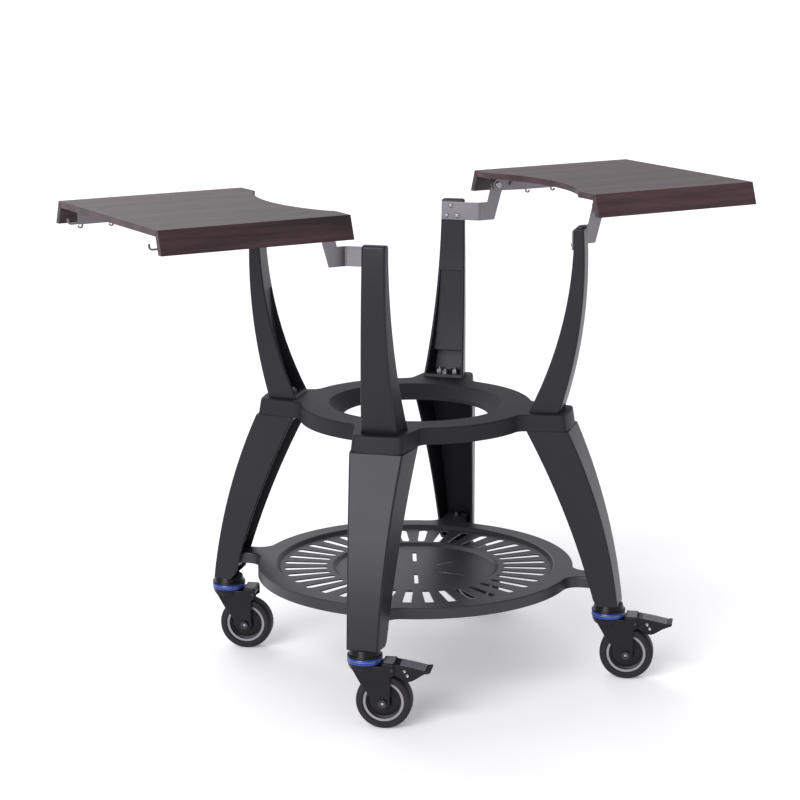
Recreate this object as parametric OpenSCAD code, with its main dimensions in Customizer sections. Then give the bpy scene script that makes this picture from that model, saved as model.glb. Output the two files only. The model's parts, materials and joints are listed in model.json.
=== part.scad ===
// Rolling stand for a round kettle grill: four cast legs and arms on a ring, a slotted
// lower shelf, four swivel casters and two folding side shelves.
// X runs from the left shelf to the right one, Y from front to back, Z up from the floor.

/* [Casters] */
// Diameter of a wheel over its tyre
wheel_d = 97; // [80:1:125]
// Width of a tyre
tyre_w = 32; // [26:1:40]
// Diameter of a wheel's hub, which the tyre sits on
hub_d = 72; // [56:1:78]
// Diameter of an axle bolt
axle_d = 8; // [6:0.5:10]
// Distance from the swivel axis back to the axle
trail = 34; // [28:1:40]
// Direction in which every wheel trails, seen from above
caster_yaw = -40; // [-180:5:180]
// Height of the swivel head under the seal
head_h = 12.8; // [11:0.2:16]
// Height of the blue dust seal
seal_h = 10; // [6:0.5:12]
// Diameter of the dust seal
seal_d = 61; // [50:1:70]
// Height of the fixed collar between seal and leg
collar_h = 13.5; // [10:0.5:18]
// Diameter of the kingpin bolt
kingpin_d = 12; // [10:0.5:14]
// Thickness of the fork's side plates
fork_t = 3; // [2:0.5:4]
// Space beside the tyre for the pedal's cheek plates
cheek_room = 4; // [4:0.5:6]

/* [Legs] */
// Radius from the centre of the stand to each swivel axis
foot_r = 359; // [330:1:440]
// Height of a leg
leg_h = 321; // [260:1:390]
// Radial depth of a leg at its top
leg_top_depth = 74; // [60:1:80]
// Radial depth of a leg at its foot
leg_foot_depth = 41; // [38:1:50]
// Width of a leg at its top
leg_top_w = 94; // [84:1:104]
// Width of a leg at half height
leg_mid_w = 68.4; // [64:0.2:76]
// Width of a leg at its foot
leg_foot_w = 55; // [50:1:60]
// Wall thickness of legs and arms
wall = 5; // [4:0.5:6]
// Thickness of the bolted plates in legs and arms
flange_t = 6; // [5:0.5:10]
// Angle at which the sides of legs and arms open towards the centre
draft = 8; // [0:1:10]

/* [Support ring] */
// Outer radius of the ring
ring_r = 210; // [190:1:225]
// Radius of the raised lip where the dished seat begins
lip_r = 157; // [146:1:175]
// Radius of the hole in the ring
hole_r = 132; // [110:1:140]
// Height of the ring's outer wall
ring_h = 30; // [24:1:36]
// Depth of the dished seat
dish_h = 20; // [14:0.5:22]
// Radius of the ring's four pads
pad_r = 286; // [270:1:300]
// Thickness of the ring's plate and walls
ring_t = 6; // [4:0.5:8]

/* [Arms] */
// Height of an arm
arm_h = 330; // [270:1:400]
// Radius of an arm's inner face at the top
arm_r = 287; // [275:1:300]
// Radial depth of an arm at its top
arm_top_depth = 17.5; // [15:0.5:24]
// Width of an arm at its top
arm_top_w = 40.4; // [36:0.2:48]
// Width of an arm at its base
arm_base_w = 62.8; // [56:0.2:70]
// Height of the solid head at the top of an arm
arm_head = 135; // [48:1:160]

/* [Lower shelf] */
// Outer radius of the lower shelf
shelf_r = 288; // [260:1:300]
// Height of the lower shelf's rim above the legs' undersides
shelf_rise = 51; // [44:1:80]
// Height of the lower shelf's outer wall
shelf_h = 20; // [16:1:26]
// Width of the flat rim
rim_w = 35; // [28:1:40]
// Number of radial slots
slot_n = 36; // [24:4:40]
// Radius where the slots begin
slot_r0 = 160; // [154:1:175]
// Radius where the slots end
slot_r1 = 241; // [215:1:245]
// Width of a slot at its inner end
slot_w0 = 13; // [8:0.5:14]
// Width of a slot at its outer end
slot_w1 = 16; // [10:0.5:18]
// Thickness of the shelf's plate
shelf_t = 5; // [4:0.5:6]

/* [Side shelves] */
// Distance from the centre of the stand to a shelf's inner edge
board_x0 = 247.5; // [240:0.5:262]
// Length of a side shelf, along X
board_l = 352; // [300:1:425]
// Width of a side shelf's flat top, along Y
board_w = 394; // [380:1:475]
// Thickness of the boards
board_t = 11; // [9:0.5:14]
// Height of the shelf tops above the arms
board_rise = 52.4; // [51:0.2:60]
// Radius of the cut-out that clears the grill
clear_r = 290; // [282:1:300]
// Height of the splayed edge boards
apron_h = 40; // [30:1:48]
// Angle at which the edge boards splay outwards
splay = 18; // [5:1:25]

/* [Shelf brackets] */
// Thickness of the bracket plates
plate_t = 3; // [2:0.5:4]
// Height of the fixed bracket's plate
plate_h = 34; // [28:1:40]
// Distance from the centre line to the fixed bracket's ear
ear_y = 165; // [150:1:175]
// Distance from a shelf's inner edge to its hinge pin
pin_inset = 30; // [26:1:34]
// Diameter of a hinge pin
pin_d = 7; // [5:0.5:8]
// Number of tool hooks under a hanger
hook_n = 5; // [3:1:6]

/* [Hidden] */
$fn = 64;

// Directions of the four corners, and the signs that mirror a rear right piece to each
FRONT_LEFT = 225;
FRONT_RIGHT = 315;
REAR_LEFT = 135;
REAR_RIGHT = 45;
CORNERS = [FRONT_LEFT, FRONT_RIGHT, REAR_LEFT, REAR_RIGHT];
LEFT = -1;
RIGHT = 1;
FRONT = -1;
REAR = 1;

// Clearances
turn_gap = 0.3;     // between flat faces that turn past each other
run_gap = 0.06;     // radial, round a pin or shaft that something turns on
bolt_gap = 0.15;    // radial, round a bolt that clamps
snug_gap = 0.05;    // radial, between pieces pressed together

// Heights, from the floor up
crown_gap = 5;
axle_z = wheel_d / 2;
crown_z = wheel_d + crown_gap;
seal_z = crown_z + head_h;
collar_z = seal_z + seal_h + turn_gap;
foot_z = collar_z + collar_h;
ring_z0 = foot_z + leg_h;
ring_z = ring_z0 + ring_h;
arm_z = ring_z + arm_h;
board_z = arm_z + board_rise;
board_z0 = board_z - board_t;
shelf_z = foot_z + shelf_rise;
shelf_z0 = shelf_z - shelf_h;

// Each curved edge of a leg or arm is the arc through three [radius, height] points
leg_mid_z = foot_z + leg_h / 2;
leg_out = [[pad_r + 2, ring_z0], [foot_r - 11, leg_mid_z], [foot_r + leg_foot_depth / 2, foot_z]];
leg_in = [[pad_r + 2 - leg_top_depth, ring_z0], [foot_r - 72.5, leg_mid_z],
          [foot_r - leg_foot_depth / 2, foot_z]];
leg_face = [[leg_top_w / 2, ring_z0], [leg_mid_w / 2, leg_mid_z], [leg_foot_w / 2, foot_z]];
leg_half = drafted(leg_face, leg_out);
arm_mid_z = ring_z + arm_h / 2;
arm_out = [[arm_r + arm_top_depth, arm_z], [arm_r + 15.5, arm_mid_z], [arm_r - 18.5, ring_z]];
arm_in = [[arm_r, arm_z], [arm_r - 15.8, arm_mid_z], [arm_r - 73, ring_z]];
arm_face = [[arm_top_w / 2, arm_z], [arm_top_w / 2 + 2.7, arm_mid_z], [arm_base_w / 2, ring_z]];
arm_half = drafted(arm_face, arm_out);
arm_cavity_z = arm_z - arm_head;

// Bolts: [shaft radius, across-corners radius of head and nut, head height]
m8 = [4, 7.5, 5.5];
kingpin = [kingpin_d / 2, kingpin_d / 2 + 5, 7.5];
axle_bolt = [axle_d / 2, axle_d / 2 + 3.5, 5];
stud_r = 250;
stud_half = 15;
centre_bolt_r = 232;
stud_over = 8;
nut_h = 5;

// Lower shelf
tab_half = on_arc(leg_face, shelf_z0) - wall - 1;
tab_reach = on_arc(leg_out, shelf_z) - wall - 12;
tab_fillet = 28;
pad_fillet = 20;
shelf_bolt_r = tab_reach - 14;
rim_drop = 7;
well_r = 152;
well_drop = 5;
ledge_t = 6;
foot_chamfer = 8;

// Cover inside each arm: how far its face lies behind the arm's outer face
cover_sink = 2;
cover_depth = on_arc(arm_out, arm_cavity_z) - on_arc(arm_in, arm_cavity_z) - cover_sink;
cover_t = 3;
cover_z0 = ring_z + 46;

// Fork and pedal, measured from the swivel axis along the trail
plate_in = tyre_w / 2 + cheek_room;
plate_out = plate_in + fork_t;
fork_front = -20;
boss_r = 13;
hood_x0 = seal_d / 2 + 1.5;
hood_x1 = trail + 20;
hood_z = seal_z + 4.2;
pivot = [hood_x1 - 4.5, seal_z - 7];
cheek_t = 2.5;
cheek_in = tyre_w / 2 + 1;
pedal_pin_r = 3;

// Shelf hinge
pin_x = board_x0 + pin_inset;
lobe_r = 13.2;
pin_z = board_z0 - lobe_r - 1.4;
plate_z = arm_z - 5;
hanger_t = 2.7;
hanger_y1 = ear_y - plate_t / 2 - turn_gap;
hanger_y0 = hanger_y1 - hanger_t;
hanger_h = 25.5;
hanger_x1 = board_x0 + board_l - 19;
hanger_flange_w = 20;
screw = [2.5, 4.5, 2.6];
screw_depth = 12;
hook_t = 2.7;

function centre3(p) =
    let (a = p[0], b = p[1], c = p[2],
         d = 2 * (a.x * (b.y - c.y) + b.x * (c.y - a.y) + c.x * (a.y - b.y)))
    [(a * a * (b.y - c.y) + b * b * (c.y - a.y) + c * c * (a.y - b.y)) / d,
     (a * a * (c.x - b.x) + b * b * (a.x - c.x) + c * c * (b.x - a.x)) / d];

// Radius, at height z, of the arc through the three points of p
function on_arc(p, z) =
    let (o = centre3(p), r = norm(p[0] - o), side = sign(p[1].x - o.x))
    o.x + side * sqrt(r * r - (z - o.y) * (z - o.y));

function arc_points(p, z0, z1, n = 16) =
    [for (i = [0:n]) let (z = z1 + (z0 - z1) * i / n) [on_arc(p, z), z]];

function reversed(v) = [for (i = [len(v) - 1:-1:0]) v[i]];

function moved(p, dx) = [for (q = p) [q.x + dx, q.y]];

// Half widths on the Z axis of a post whose outer face has the half widths of p
function drafted(p, outer) =
    [for (q = p) [(q.x + on_arc(outer, q.y) * tan(draft)) * cos(draft), q.y]];

// Everything on the near side of one side face of a post; s picks the side
module beside(half, z0, z1, s) {
    reach = 600;
    side = arc_points(half, z0, z1);
    rotate([0, 0, -s * draft]) rotate([90, 0, 90])
        linear_extrude(height = reach)
            polygon(concat([for (q = side) [s * q.x, q.y]],
                           [[-s * reach, z0], [-s * reach, z1]]));
}

// A post between two arcs in the radial plane, with its sides on a third, drafted arc
module post(outer, inner, half, z0, z1) {
    intersection() {
        rotate([90, 0, 0])
            linear_extrude(height = 400, center = true)
                polygon(concat(arc_points(outer, z0, z1), reversed(arc_points(inner, z0, z1))));
        beside(half, z0, z1, 1);
        beside(half, z0, z1, -1);
    }
}

// A post hollowed into a channel that opens towards the centre, between two heights
module channel(outer, inner, half, z0, z1, hollow_z0, hollow_z1) {
    difference() {
        post(outer, inner, half, z0, z1);
        post(moved(outer, -wall), moved(inner, -8), moved(half, -wall), hollow_z0, hollow_z1);
    }
}

module at_corner(a) {
    rotate([0, 0, a]) children();
}

// Local frame of a caster: X along the trail, Z up the swivel axis
module at_caster(a) {
    rotate([0, 0, a])
        translate([foot_r, 0, 0])
            rotate([0, 0, caster_yaw - a])
                children();
}

// Mirrors a piece drawn at the rear right to another corner
module mirrored(x_side, y_side) {
    mirror([x_side < 0 ? 1 : 0, 0, 0])
        mirror([0, y_side < 0 ? 1 : 0, 0])
            children();
}

// Places for the bolts that hold an arm, the ring and a leg together
module at_arm_bolts() {
    for (p = [[stud_r, stud_half], [stud_r, -stud_half], [centre_bolt_r, 0]])
        translate([p.x, p.y, 0]) children();
}

// Turns an outline in the X-Z plane into a plate between two Y positions
module upright(y0, y1) {
    translate([0, y1, 0]) rotate([90, 0, 0]) linear_extrude(height = y1 - y0) children();
}

module hex(r, h) {
    cylinder(r = r, h = h, $fn = 6);
}

module nut(b, h) {
    difference() {
        hex(b[1], h);
        translate([0, 0, -1]) cylinder(r = b[0] + snug_gap, h = h + 2);
    }
}

// Disc with four round-cornered tabs on the diagonals, filleted into its edge
module tabbed_disc(r, reach, half, fillet) {
    y0 = half + fillet;
    x0 = sqrt((r + fillet) * (r + fillet) - y0 * y0);
    union() {
        circle(r = r, $fn = 180);
        for (a = CORNERS) rotate(a) {
            intersection() {
                translate([0, -half]) square([reach, 2 * half]);
                circle(r = reach, $fn = 180);
            }
            for (s = [-1, 1]) difference() {
                polygon([[r / 2, 0], [r * x0 / (r + fillet), s * r * y0 / (r + fillet)],
                         [x0, s * y0], [x0, 0]]);
                translate([x0, s * y0]) circle(r = fillet);
            }
        }
    }
}

module support_ring() {
    seat_z = ring_z - dish_h;
    color("#2c2d31") difference() {
        union() {
            rotate_extrude($fn = 180)
                polygon([[hole_r, seat_z - ring_t], [hole_r, seat_z], [lip_r, ring_z],
                         [ring_r, ring_z], [ring_r, ring_z0], [ring_r - ring_t, ring_z0],
                         [ring_r - ring_t, ring_z - ring_t], [lip_r - 2, ring_z - ring_t],
                         [hole_r + ring_t, seat_z - ring_t]]);
            difference() {
                translate([0, 0, ring_z0])
                    linear_extrude(height = ring_h)
                        tabbed_disc(ring_r, pad_r, leg_top_w / 2 - 2, pad_fillet);
                translate([0, 0, ring_z0 - 1])
                    cylinder(r = ring_r - ring_t / 2, h = ring_h + 2, $fn = 180);
            }
        }
        for (a = CORNERS) at_corner(a) at_arm_bolts()
            translate([0, 0, ring_z0 - 1]) cylinder(r = m8[0] + bolt_gap, h = ring_h + 2);
    }
}

// One radial slot with round ends
module slot() {
    r0 = slot_r0 + slot_w0 / 2;
    r1 = slot_r1 - slot_w1 / 2;
    polygon([[r0, -slot_w0 / 2], [r1, -slot_w1 / 2], [r1, slot_w1 / 2], [r0, slot_w0 / 2]]);
    translate([r0, 0]) circle(d = slot_w0, $fn = 24);
    translate([r1, 0]) circle(d = slot_w1, $fn = 24);
}

module bottom_shelf() {
    plate_z1 = shelf_z - rim_drop;
    well_z = plate_z1 - well_drop;
    rim_in = shelf_r - rim_w;
    vent_n = 6;
    color("#2c2d31") difference() {
        union() {
            rotate_extrude($fn = 180)
                polygon([[0, well_z - shelf_t], [0, well_z], [well_r - 8, well_z],
                         [well_r, plate_z1], [rim_in - 6, plate_z1], [rim_in, shelf_z],
                         [shelf_r, shelf_z], [shelf_r, shelf_z0], [shelf_r - ring_t, shelf_z0],
                         [shelf_r - ring_t, shelf_z - shelf_t], [rim_in + 3, shelf_z - shelf_t],
                         [rim_in - 3, plate_z1 - shelf_t], [well_r + 3, plate_z1 - shelf_t],
                         [well_r - 5, well_z - shelf_t]]);
            difference() {
                translate([0, 0, shelf_z0])
                    linear_extrude(height = shelf_h)
                        tabbed_disc(shelf_r, tab_reach, tab_half, tab_fillet);
                translate([0, 0, shelf_z0 - 1])
                    cylinder(r = shelf_r - ring_t / 2, h = shelf_h + 2, $fn = 180);
            }
        }
        translate([0, 0, shelf_z0 - 20]) linear_extrude(height = shelf_h + 20) {
            for (i = [0:slot_n - 1]) rotate(360 / slot_n * (i + 0.5)) slot();
            for (i = [0:vent_n - 1]) rotate(360 / vent_n * i)
                translate([42, -3.5]) square([58, 7]);
        }
        for (a = CORNERS) at_corner(a)
            translate([shelf_bolt_r, 0, shelf_z0 - 1])
                cylinder(r = m8[0] + bolt_gap, h = shelf_h + 2);
    }
}

// The slanted corner at the inner edge of a leg's foot
module foot_corner() {
    r = foot_r - leg_foot_depth / 2;
    polygon([[r - 9, foot_z - 1], [r + foot_chamfer, foot_z - 1], [r + foot_chamfer, foot_z],
             [r - 4, foot_z + foot_chamfer + 4], [r - 9, foot_z + foot_chamfer + 4]]);
}

module leg(a) {
    color("#2c2d31") at_corner(a) difference() {
        union() {
            channel(leg_out, leg_in, leg_half, foot_z, ring_z0,
                    foot_z + flange_t, ring_z0 - flange_t);
            post(leg_out, leg_in, leg_half, shelf_z0 - ledge_t, shelf_z0);
        }
        at_arm_bolts() translate([0, 0, ring_z0 - flange_t - 1])
            cylinder(r = m8[0] + bolt_gap, h = flange_t + 2);
        translate([shelf_bolt_r, 0, shelf_z0 - ledge_t - 1])
            cylinder(r = m8[0] + bolt_gap, h = ledge_t + 2);
        translate([foot_r, 0, foot_z - 1])
            cylinder(r = kingpin[0] + bolt_gap, h = flange_t + 2);
        upright(-leg_top_w, leg_top_w) foot_corner();
    }
}

// Centres of a fixed bracket's three screws: [sideways, height]
function screw_places() =
    [[3, plate_z - 7], [11, plate_z - plate_h + 8], [-9, plate_z - plate_h + 8]];

// Places an upright X axis, pointing inwards, at each bracket screw of the rear right arm
module at_bracket_screws() {
    for (p = screw_places())
        translate([on_arc(arm_in, p.y), p.x, p.y]) rotate([0, -90, 0]) children();
}

module arm(a) {
    // The screws sit towards the side that the bracket leaves from
    flip = (a == REAR_RIGHT || a == FRONT_LEFT) ? 0 : 1;
    color("#2c2d31") at_corner(a) difference() {
        channel(arm_out, arm_in, arm_half, ring_z, arm_z, ring_z + flange_t, arm_cavity_z);
        at_arm_bolts() translate([0, 0, ring_z - 1])
            cylinder(r = m8[0] + bolt_gap, h = flange_t + 2);
        mirror([0, flip, 0]) at_bracket_screws()
            translate([0, 0, -screw_depth - 1]) cylinder(r = screw[0] + bolt_gap, h = 30);
    }
}

// The panel that closes the upper part of an arm's channel
module cover() {
    face = moved(arm_out, -cover_depth);
    back = moved(face, cover_t);
    inside = moved(arm_half, -wall - 0.3);
    post(back, face, inside, cover_z0, arm_cavity_z - 0.3);
    post(moved(arm_out, -wall - 0.5), face, inside, cover_z0, cover_z0 + cover_t);
}

module arm_covers() {
    color("#3a3b40") for (a = CORNERS) at_corner(a) cover();
}

// Bolts up through leg, ring and arm, each with a nut on top
module arm_bolts() {
    low = ring_z0 - flange_t;
    top = ring_z + flange_t;
    color("silver") for (a = CORNERS) at_corner(a) at_arm_bolts() {
        translate([0, 0, low - m8[2]]) hex(m8[1], m8[2]);
        translate([0, 0, low - 1]) cylinder(r = m8[0], h = top + stud_over - low + 1);
        translate([0, 0, top]) nut(m8, nut_h);
    }
}

module shelf_bolts() {
    color("silver") for (a = CORNERS) at_corner(a) translate([shelf_bolt_r, 0, 0]) {
        translate([0, 0, shelf_z]) hex(m8[1], m8[2]);
        translate([0, 0, shelf_z0 - ledge_t - stud_over])
            cylinder(r = m8[0], h = shelf_h + ledge_t + stud_over + 1);
        translate([0, 0, shelf_z0 - ledge_t - nut_h]) nut(m8, nut_h);
    }
}

// Fixed upper half of each caster: a flared collar under the leg
module caster_collars() {
    bore_r = kingpin[0] + bolt_gap;
    color("#202124") for (a = CORNERS) at_caster(a) translate([0, 0, collar_z])
        rotate_extrude()
            polygon([[bore_r, 0], [seal_d / 2, 0], [seal_d / 2, 3], [seal_d / 2 - 5, collar_h],
                     [bore_r, collar_h]]);
}

module kingpins() {
    head_z = crown_z - turn_gap - kingpin[2];
    top = foot_z + flange_t;
    color("silver") for (a = CORNERS) at_caster(a) {
        translate([0, 0, head_z]) cylinder(r = kingpin[1] - 1, h = kingpin[2]);
        translate([0, 0, head_z + 1]) cylinder(r = kingpin[0], h = top + 12 - head_z);
        translate([0, 0, top]) nut(kingpin, 9);
    }
}

module seal(a) {
    color("#1f4fd0") at_caster(a) translate([0, 0, seal_z]) difference() {
        cylinder(d = seal_d, h = seal_h);
        translate([0, 0, -1]) cylinder(r = kingpin[0] + 6, h = seal_h + 2);
    }
}

// Side outline of the fork, in the plane of the wheel
module fork_outline() {
    polygon([[fork_front, crown_z + 6], [fork_front + 16, crown_z - 22],
             [trail - boss_r, axle_z], [trail + boss_r, axle_z],
             [trail + boss_r, crown_z - 8], [hood_x1, crown_z - 3],
             [hood_x1, hood_z], [hood_x0, hood_z], [hood_x0, seal_z - 1],
             [fork_front, seal_z - 1]]);
    translate([trail, axle_z]) circle(r = boss_r);
}

module fork(a) {
    color("#26272a") at_caster(a) difference() {
        union() {
            upright(plate_in, plate_out) fork_outline();
            upright(-plate_out, -plate_in) fork_outline();
            translate([0, 0, crown_z]) cylinder(r1 = seal_d / 2 - 8, r2 = seal_d / 2 - 1, h = head_h);
            translate([fork_front + 6, -plate_in - 1, crown_z])
                cube([hood_x0 - fork_front - 4, 2 * plate_in + 2, 4]);
            translate([hood_x0, -plate_in - 1, hood_z - 3])
                cube([hood_x1 - hood_x0, 2 * plate_in + 2, 3]);
        }
        translate([0, 0, crown_z - 1]) cylinder(r = kingpin[0] + run_gap, h = head_h + 2);
        translate([0, 0, seal_z]) cylinder(r = seal_d / 2 + 1, h = 20);
        translate([trail, 0, axle_z]) rotate([90, 0, 0])
            cylinder(r = axle_bolt[0] + bolt_gap, h = 80, center = true);
        translate([pivot.x, 0, pivot.y]) rotate([90, 0, 0])
            cylinder(r = pedal_pin_r + snug_gap, h = 80, center = true);
    }
}

// Axle bolt with its nut, and the pin across the back of the fork
module axle(a) {
    color("silver") at_caster(a) {
        translate([trail, plate_out, axle_z]) rotate([-90, 0, 0]) nut(axle_bolt, 6);
        translate([trail, plate_out + 8, axle_z]) rotate([90, 0, 0])
            cylinder(r = axle_bolt[0], h = 2 * plate_out + 9);
        translate([trail, -plate_out, axle_z]) rotate([90, 0, 0])
            cylinder(r = axle_bolt[1], h = axle_bolt[2]);
        translate([pivot.x, 0, pivot.y]) rotate([90, 0, 0])
            cylinder(r = pedal_pin_r, h = 2 * plate_out + 3, center = true);
    }
}

// Turns a profile drawn as [radius, width] about the axle
module about_axle(a) {
    at_caster(a) translate([trail, 0, axle_z]) rotate([90, 0, 0])
        rotate_extrude($fn = 120) children();
}

module hub(a) {
    bore_r = axle_bolt[0] + run_gap;
    boss_w = tyre_w / 2 + 2.5;
    rim_half = tyre_w / 2 - 3;
    web_half = 6;
    rim_r0 = hub_d / 2 - 5;
    color("#3c3d40") about_axle(a)
        polygon([[bore_r, -boss_w], [14, -boss_w], [16, -web_half - 3], [rim_r0, -web_half],
                 [rim_r0, -rim_half], [hub_d / 2, -rim_half], [hub_d / 2, rim_half],
                 [rim_r0, rim_half], [rim_r0, web_half], [16, web_half + 3], [14, boss_w],
                 [bore_r, boss_w]]);
}

module tyre(a) {
    r0 = hub_d / 2 + snug_gap;
    round_r = 6;
    half = tyre_w / 2;
    color("#2f3033") about_axle(a) union() {
        translate([r0, -half]) square([wheel_d / 2 - round_r - r0, tyre_w]);
        translate([r0, -half + round_r]) square([wheel_d / 2 - r0, tyre_w - 2 * round_r]);
        for (s = [-1, 1])
            translate([wheel_d / 2 - round_r, s * (half - round_r)]) circle(r = round_r, $fn = 32);
    }
}

// Side outline of the brake pedal's cheeks
module cheek_outline() {
    x = hood_x1;
    z = hood_z;
    polygon([[pivot.x - 6, pivot.y - 6], [pivot.x - 6, pivot.y + 7], [x + 1, z - 4],
             [x + 1, z - 1.5], [x + 6, z - 2.5], [x + 53, z - 11], [x + 60.5, z - 15],
             [x + 50, z - 16.5], [x + 44, z - 21], [x + 31, z - 29.5], [x + 24, z - 32],
             [x + 16, z - 31], [x + 8, z - 25]]);
}

module pedal(a) {
    x = hood_x1;
    z = hood_z;
    color("#2a2b2d") at_caster(a) difference() {
        union() {
            upright(cheek_in, cheek_in + cheek_t) cheek_outline();
            upright(-cheek_in - cheek_t, -cheek_in) cheek_outline();
            // The tread plate, turned up at its tip
            upright(-cheek_in - 1, cheek_in + 1)
                polygon([[x + 1, z - 4], [x + 1, z - 1.5], [x + 6, z - 2.5], [x + 53, z - 11],
                         [x + 59, z - 9.5], [x + 61.5, z - 12.5], [x + 60.5, z - 15],
                         [x + 53, z - 14], [x + 6, z - 5.5]]);
            // The shoe that comes down towards the tyre
            upright(-cheek_in - 1, cheek_in + 1)
                polygon([[x + 8, z - 24], [x + 20, z - 31], [x + 22, z - 7], [x + 12, z - 5]]);
        }
        translate([pivot.x, 0, pivot.y]) rotate([90, 0, 0])
            cylinder(r = pedal_pin_r + run_gap, h = 80, center = true);
    }
}

// Side outline of the fixed bracket's ear, from the plate's end up to the hinge pin
module ear_outline(x0) {
    low = plate_z - plate_h;
    polygon([[x0, low], [x0 + 32, low], [pin_x + lobe_r, pin_z - 2], [pin_x - lobe_r, pin_z - 2],
             [pin_x - lobe_r - 8, plate_z], [x0, plate_z]]);
    translate([pin_x, pin_z]) circle(r = lobe_r);
}

module bracket(x_side, y_side) {
    plate_r = on_arc(arm_in, plate_z - plate_h);
    // The plate runs along the arm's inner face to where it meets the ear
    end = ear_y * sqrt(2) - plate_r;
    x0 = (plate_r - end) / sqrt(2) - 1;
    color("#b9babd") mirrored(x_side, y_side) difference() {
        union() {
            intersection() {
                at_corner(REAR_RIGHT) translate([plate_r - plate_t, end - 2, plate_z - plate_h])
                    cube([plate_t, arm_top_w / 2 + 1 - end, plate_h]);
                translate([0, ear_y - plate_t / 2, 0]) cube([400, 400, 2000]);
            }
            upright(ear_y - plate_t / 2, ear_y + plate_t / 2) ear_outline(x0);
        }
        at_corner(REAR_RIGHT) at_bracket_screws()
            translate([0, 0, -10]) cylinder(r = screw[0] + bolt_gap, h = 30);
        translate([pin_x, ear_y, pin_z]) rotate([90, 0, 0])
            cylinder(r = pin_d / 2 + run_gap, h = 20, center = true);
    }
}

module bracket_screws() {
    head_r = on_arc(arm_in, plate_z - plate_h) - plate_t;
    color("silver") for (x_side = [LEFT, RIGHT], y_side = [FRONT, REAR])
        mirrored(x_side, y_side) at_corner(REAR_RIGHT) for (p = screw_places())
            translate([head_r, p.x, p.y]) rotate([0, -90, 0]) {
                cylinder(r = screw[1], h = screw[2]);
                translate([0, 0, -plate_t - screw_depth])
                    cylinder(r = screw[0], h = plate_t + screw_depth + 1);
            }
}

// Half of the shelf's cross-section: the board's edge is mitred to meet the edge board
apron_dy = apron_h * tan(splay);
mitre_y = board_w / 2 - board_t / cos(splay) + board_t * tan(splay);

module board(x_side) {
    x1 = board_x0 + board_l;
    color("#4a2c22") mirrored(x_side, REAR) intersection() {
        difference() {
            translate([board_x0, -board_w / 2, board_z0 - 1]) cube([board_l, board_w, board_t + 2]);
            translate([0, 0, board_z0 - 2]) cylinder(r = clear_r, h = board_t + 4, $fn = 180);
            for (s = [-1, 1], x = hanger_screw_xs())
                translate([x, s * (hanger_y0 - hanger_flange_w / 2), board_z0 - 2])
                    cylinder(r = screw[0] + bolt_gap, h = 2 + board_t - 3);
        }
        rotate([90, 0, 90]) linear_extrude(height = x1 + 1)
            polygon([[-board_w / 2, board_z], [-mitre_y, board_z0], [mitre_y, board_z0],
                     [board_w / 2, board_z]]);
    }
}

module apron(x_side, y_side) {
    low = board_z - apron_h;
    thick = board_t / cos(splay);
    color("#4a2c22") mirrored(x_side, y_side)
        translate([board_x0, 0, 0]) rotate([90, 0, 90]) linear_extrude(height = board_l)
            polygon([[board_w / 2, board_z], [board_w / 2 + apron_dy, low],
                     [board_w / 2 + apron_dy - thick, low], [mitre_y, board_z0]]);
}

function hanger_screw_xs() =
    let (x0 = clear_r + 18, x1 = board_x0 + board_l - 40)
    [for (i = [0:2]) x0 + (x1 - x0) * i / 2];

// A small hook that opens upwards, hanging from the hanger's lower edge
module hook_outline() {
    difference() {
        union() {
            circle(r = 6.5, $fn = 32);
            translate([-6.5, 0]) square([3, 12]);
        }
        circle(r = 3.5, $fn = 32);
        translate([-3.5, 0]) square([12, 14]);
    }
}

module hanger(x_side, y_side) {
    x1 = hanger_x1;
    low = board_z0 - hanger_h;
    hook_x0 = pin_x + 62;
    hook_step = (x1 - 10 - hook_x0) / (hook_n - 1);
    color("#c4c5c8") mirrored(x_side, y_side) difference() {
        union() {
            upright(hanger_y0, hanger_y1) {
                polygon([[pin_x, low], [x1, low], [x1, board_z0], [pin_x + 12, board_z0],
                         [pin_x, pin_z + 10]]);
                translate([pin_x, pin_z]) circle(r = 11);
            }
            for (i = [0:hook_n - 1])
                upright(hanger_y0, hanger_y0 + hook_t)
                    translate([hook_x0 + hook_step * i + 5, low - 7]) hook_outline();
            upright(hanger_y0, hanger_y0 + hook_t) translate([x1 + 12, low + 6]) end_hook_outline();
            translate([clear_r + 4, hanger_y0 - hanger_flange_w, board_z0 - hanger_t])
                cube([x1 - clear_r - 4, hanger_flange_w + 1, hanger_t]);
            translate([pin_x + 26, hanger_y0 - 4, pin_z - 2]) cube([6, 5, 6]);
        }
        translate([pin_x, ear_y, pin_z]) rotate([90, 0, 0])
            cylinder(r = pin_d / 2 + snug_gap, h = 30, center = true);
        for (x = hanger_screw_xs())
            translate([x, hanger_y0 - hanger_flange_w / 2, board_z0 - hanger_t - 1])
                cylinder(r = screw[0] + bolt_gap, h = hanger_t + 2);
    }
}

// The hook at a hanger's outer end, turned up level with the board's end
module end_hook_outline() {
    difference() {
        union() {
            circle(r = 7, $fn = 32);
            translate([-13, -7]) square([13, 3]);
            translate([4, 0]) square([3, 4]);
        }
        circle(r = 4, $fn = 32);
        translate([-14, -4]) square([14, 12]);
        translate([-1, 0]) square([5, 12]);
    }
}

module board_screws(x_side) {
    low = board_z0 - hanger_t;
    color("silver") for (y_side = [FRONT, REAR]) mirrored(x_side, y_side)
        for (x = hanger_screw_xs()) translate([x, hanger_y0 - hanger_flange_w / 2, 0]) {
            translate([0, 0, low - screw[2]]) cylinder(r = screw[1], h = screw[2]);
            translate([0, 0, low - 1]) cylinder(r = screw[0], h = hanger_t + board_t - 3);
        }
}

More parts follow.
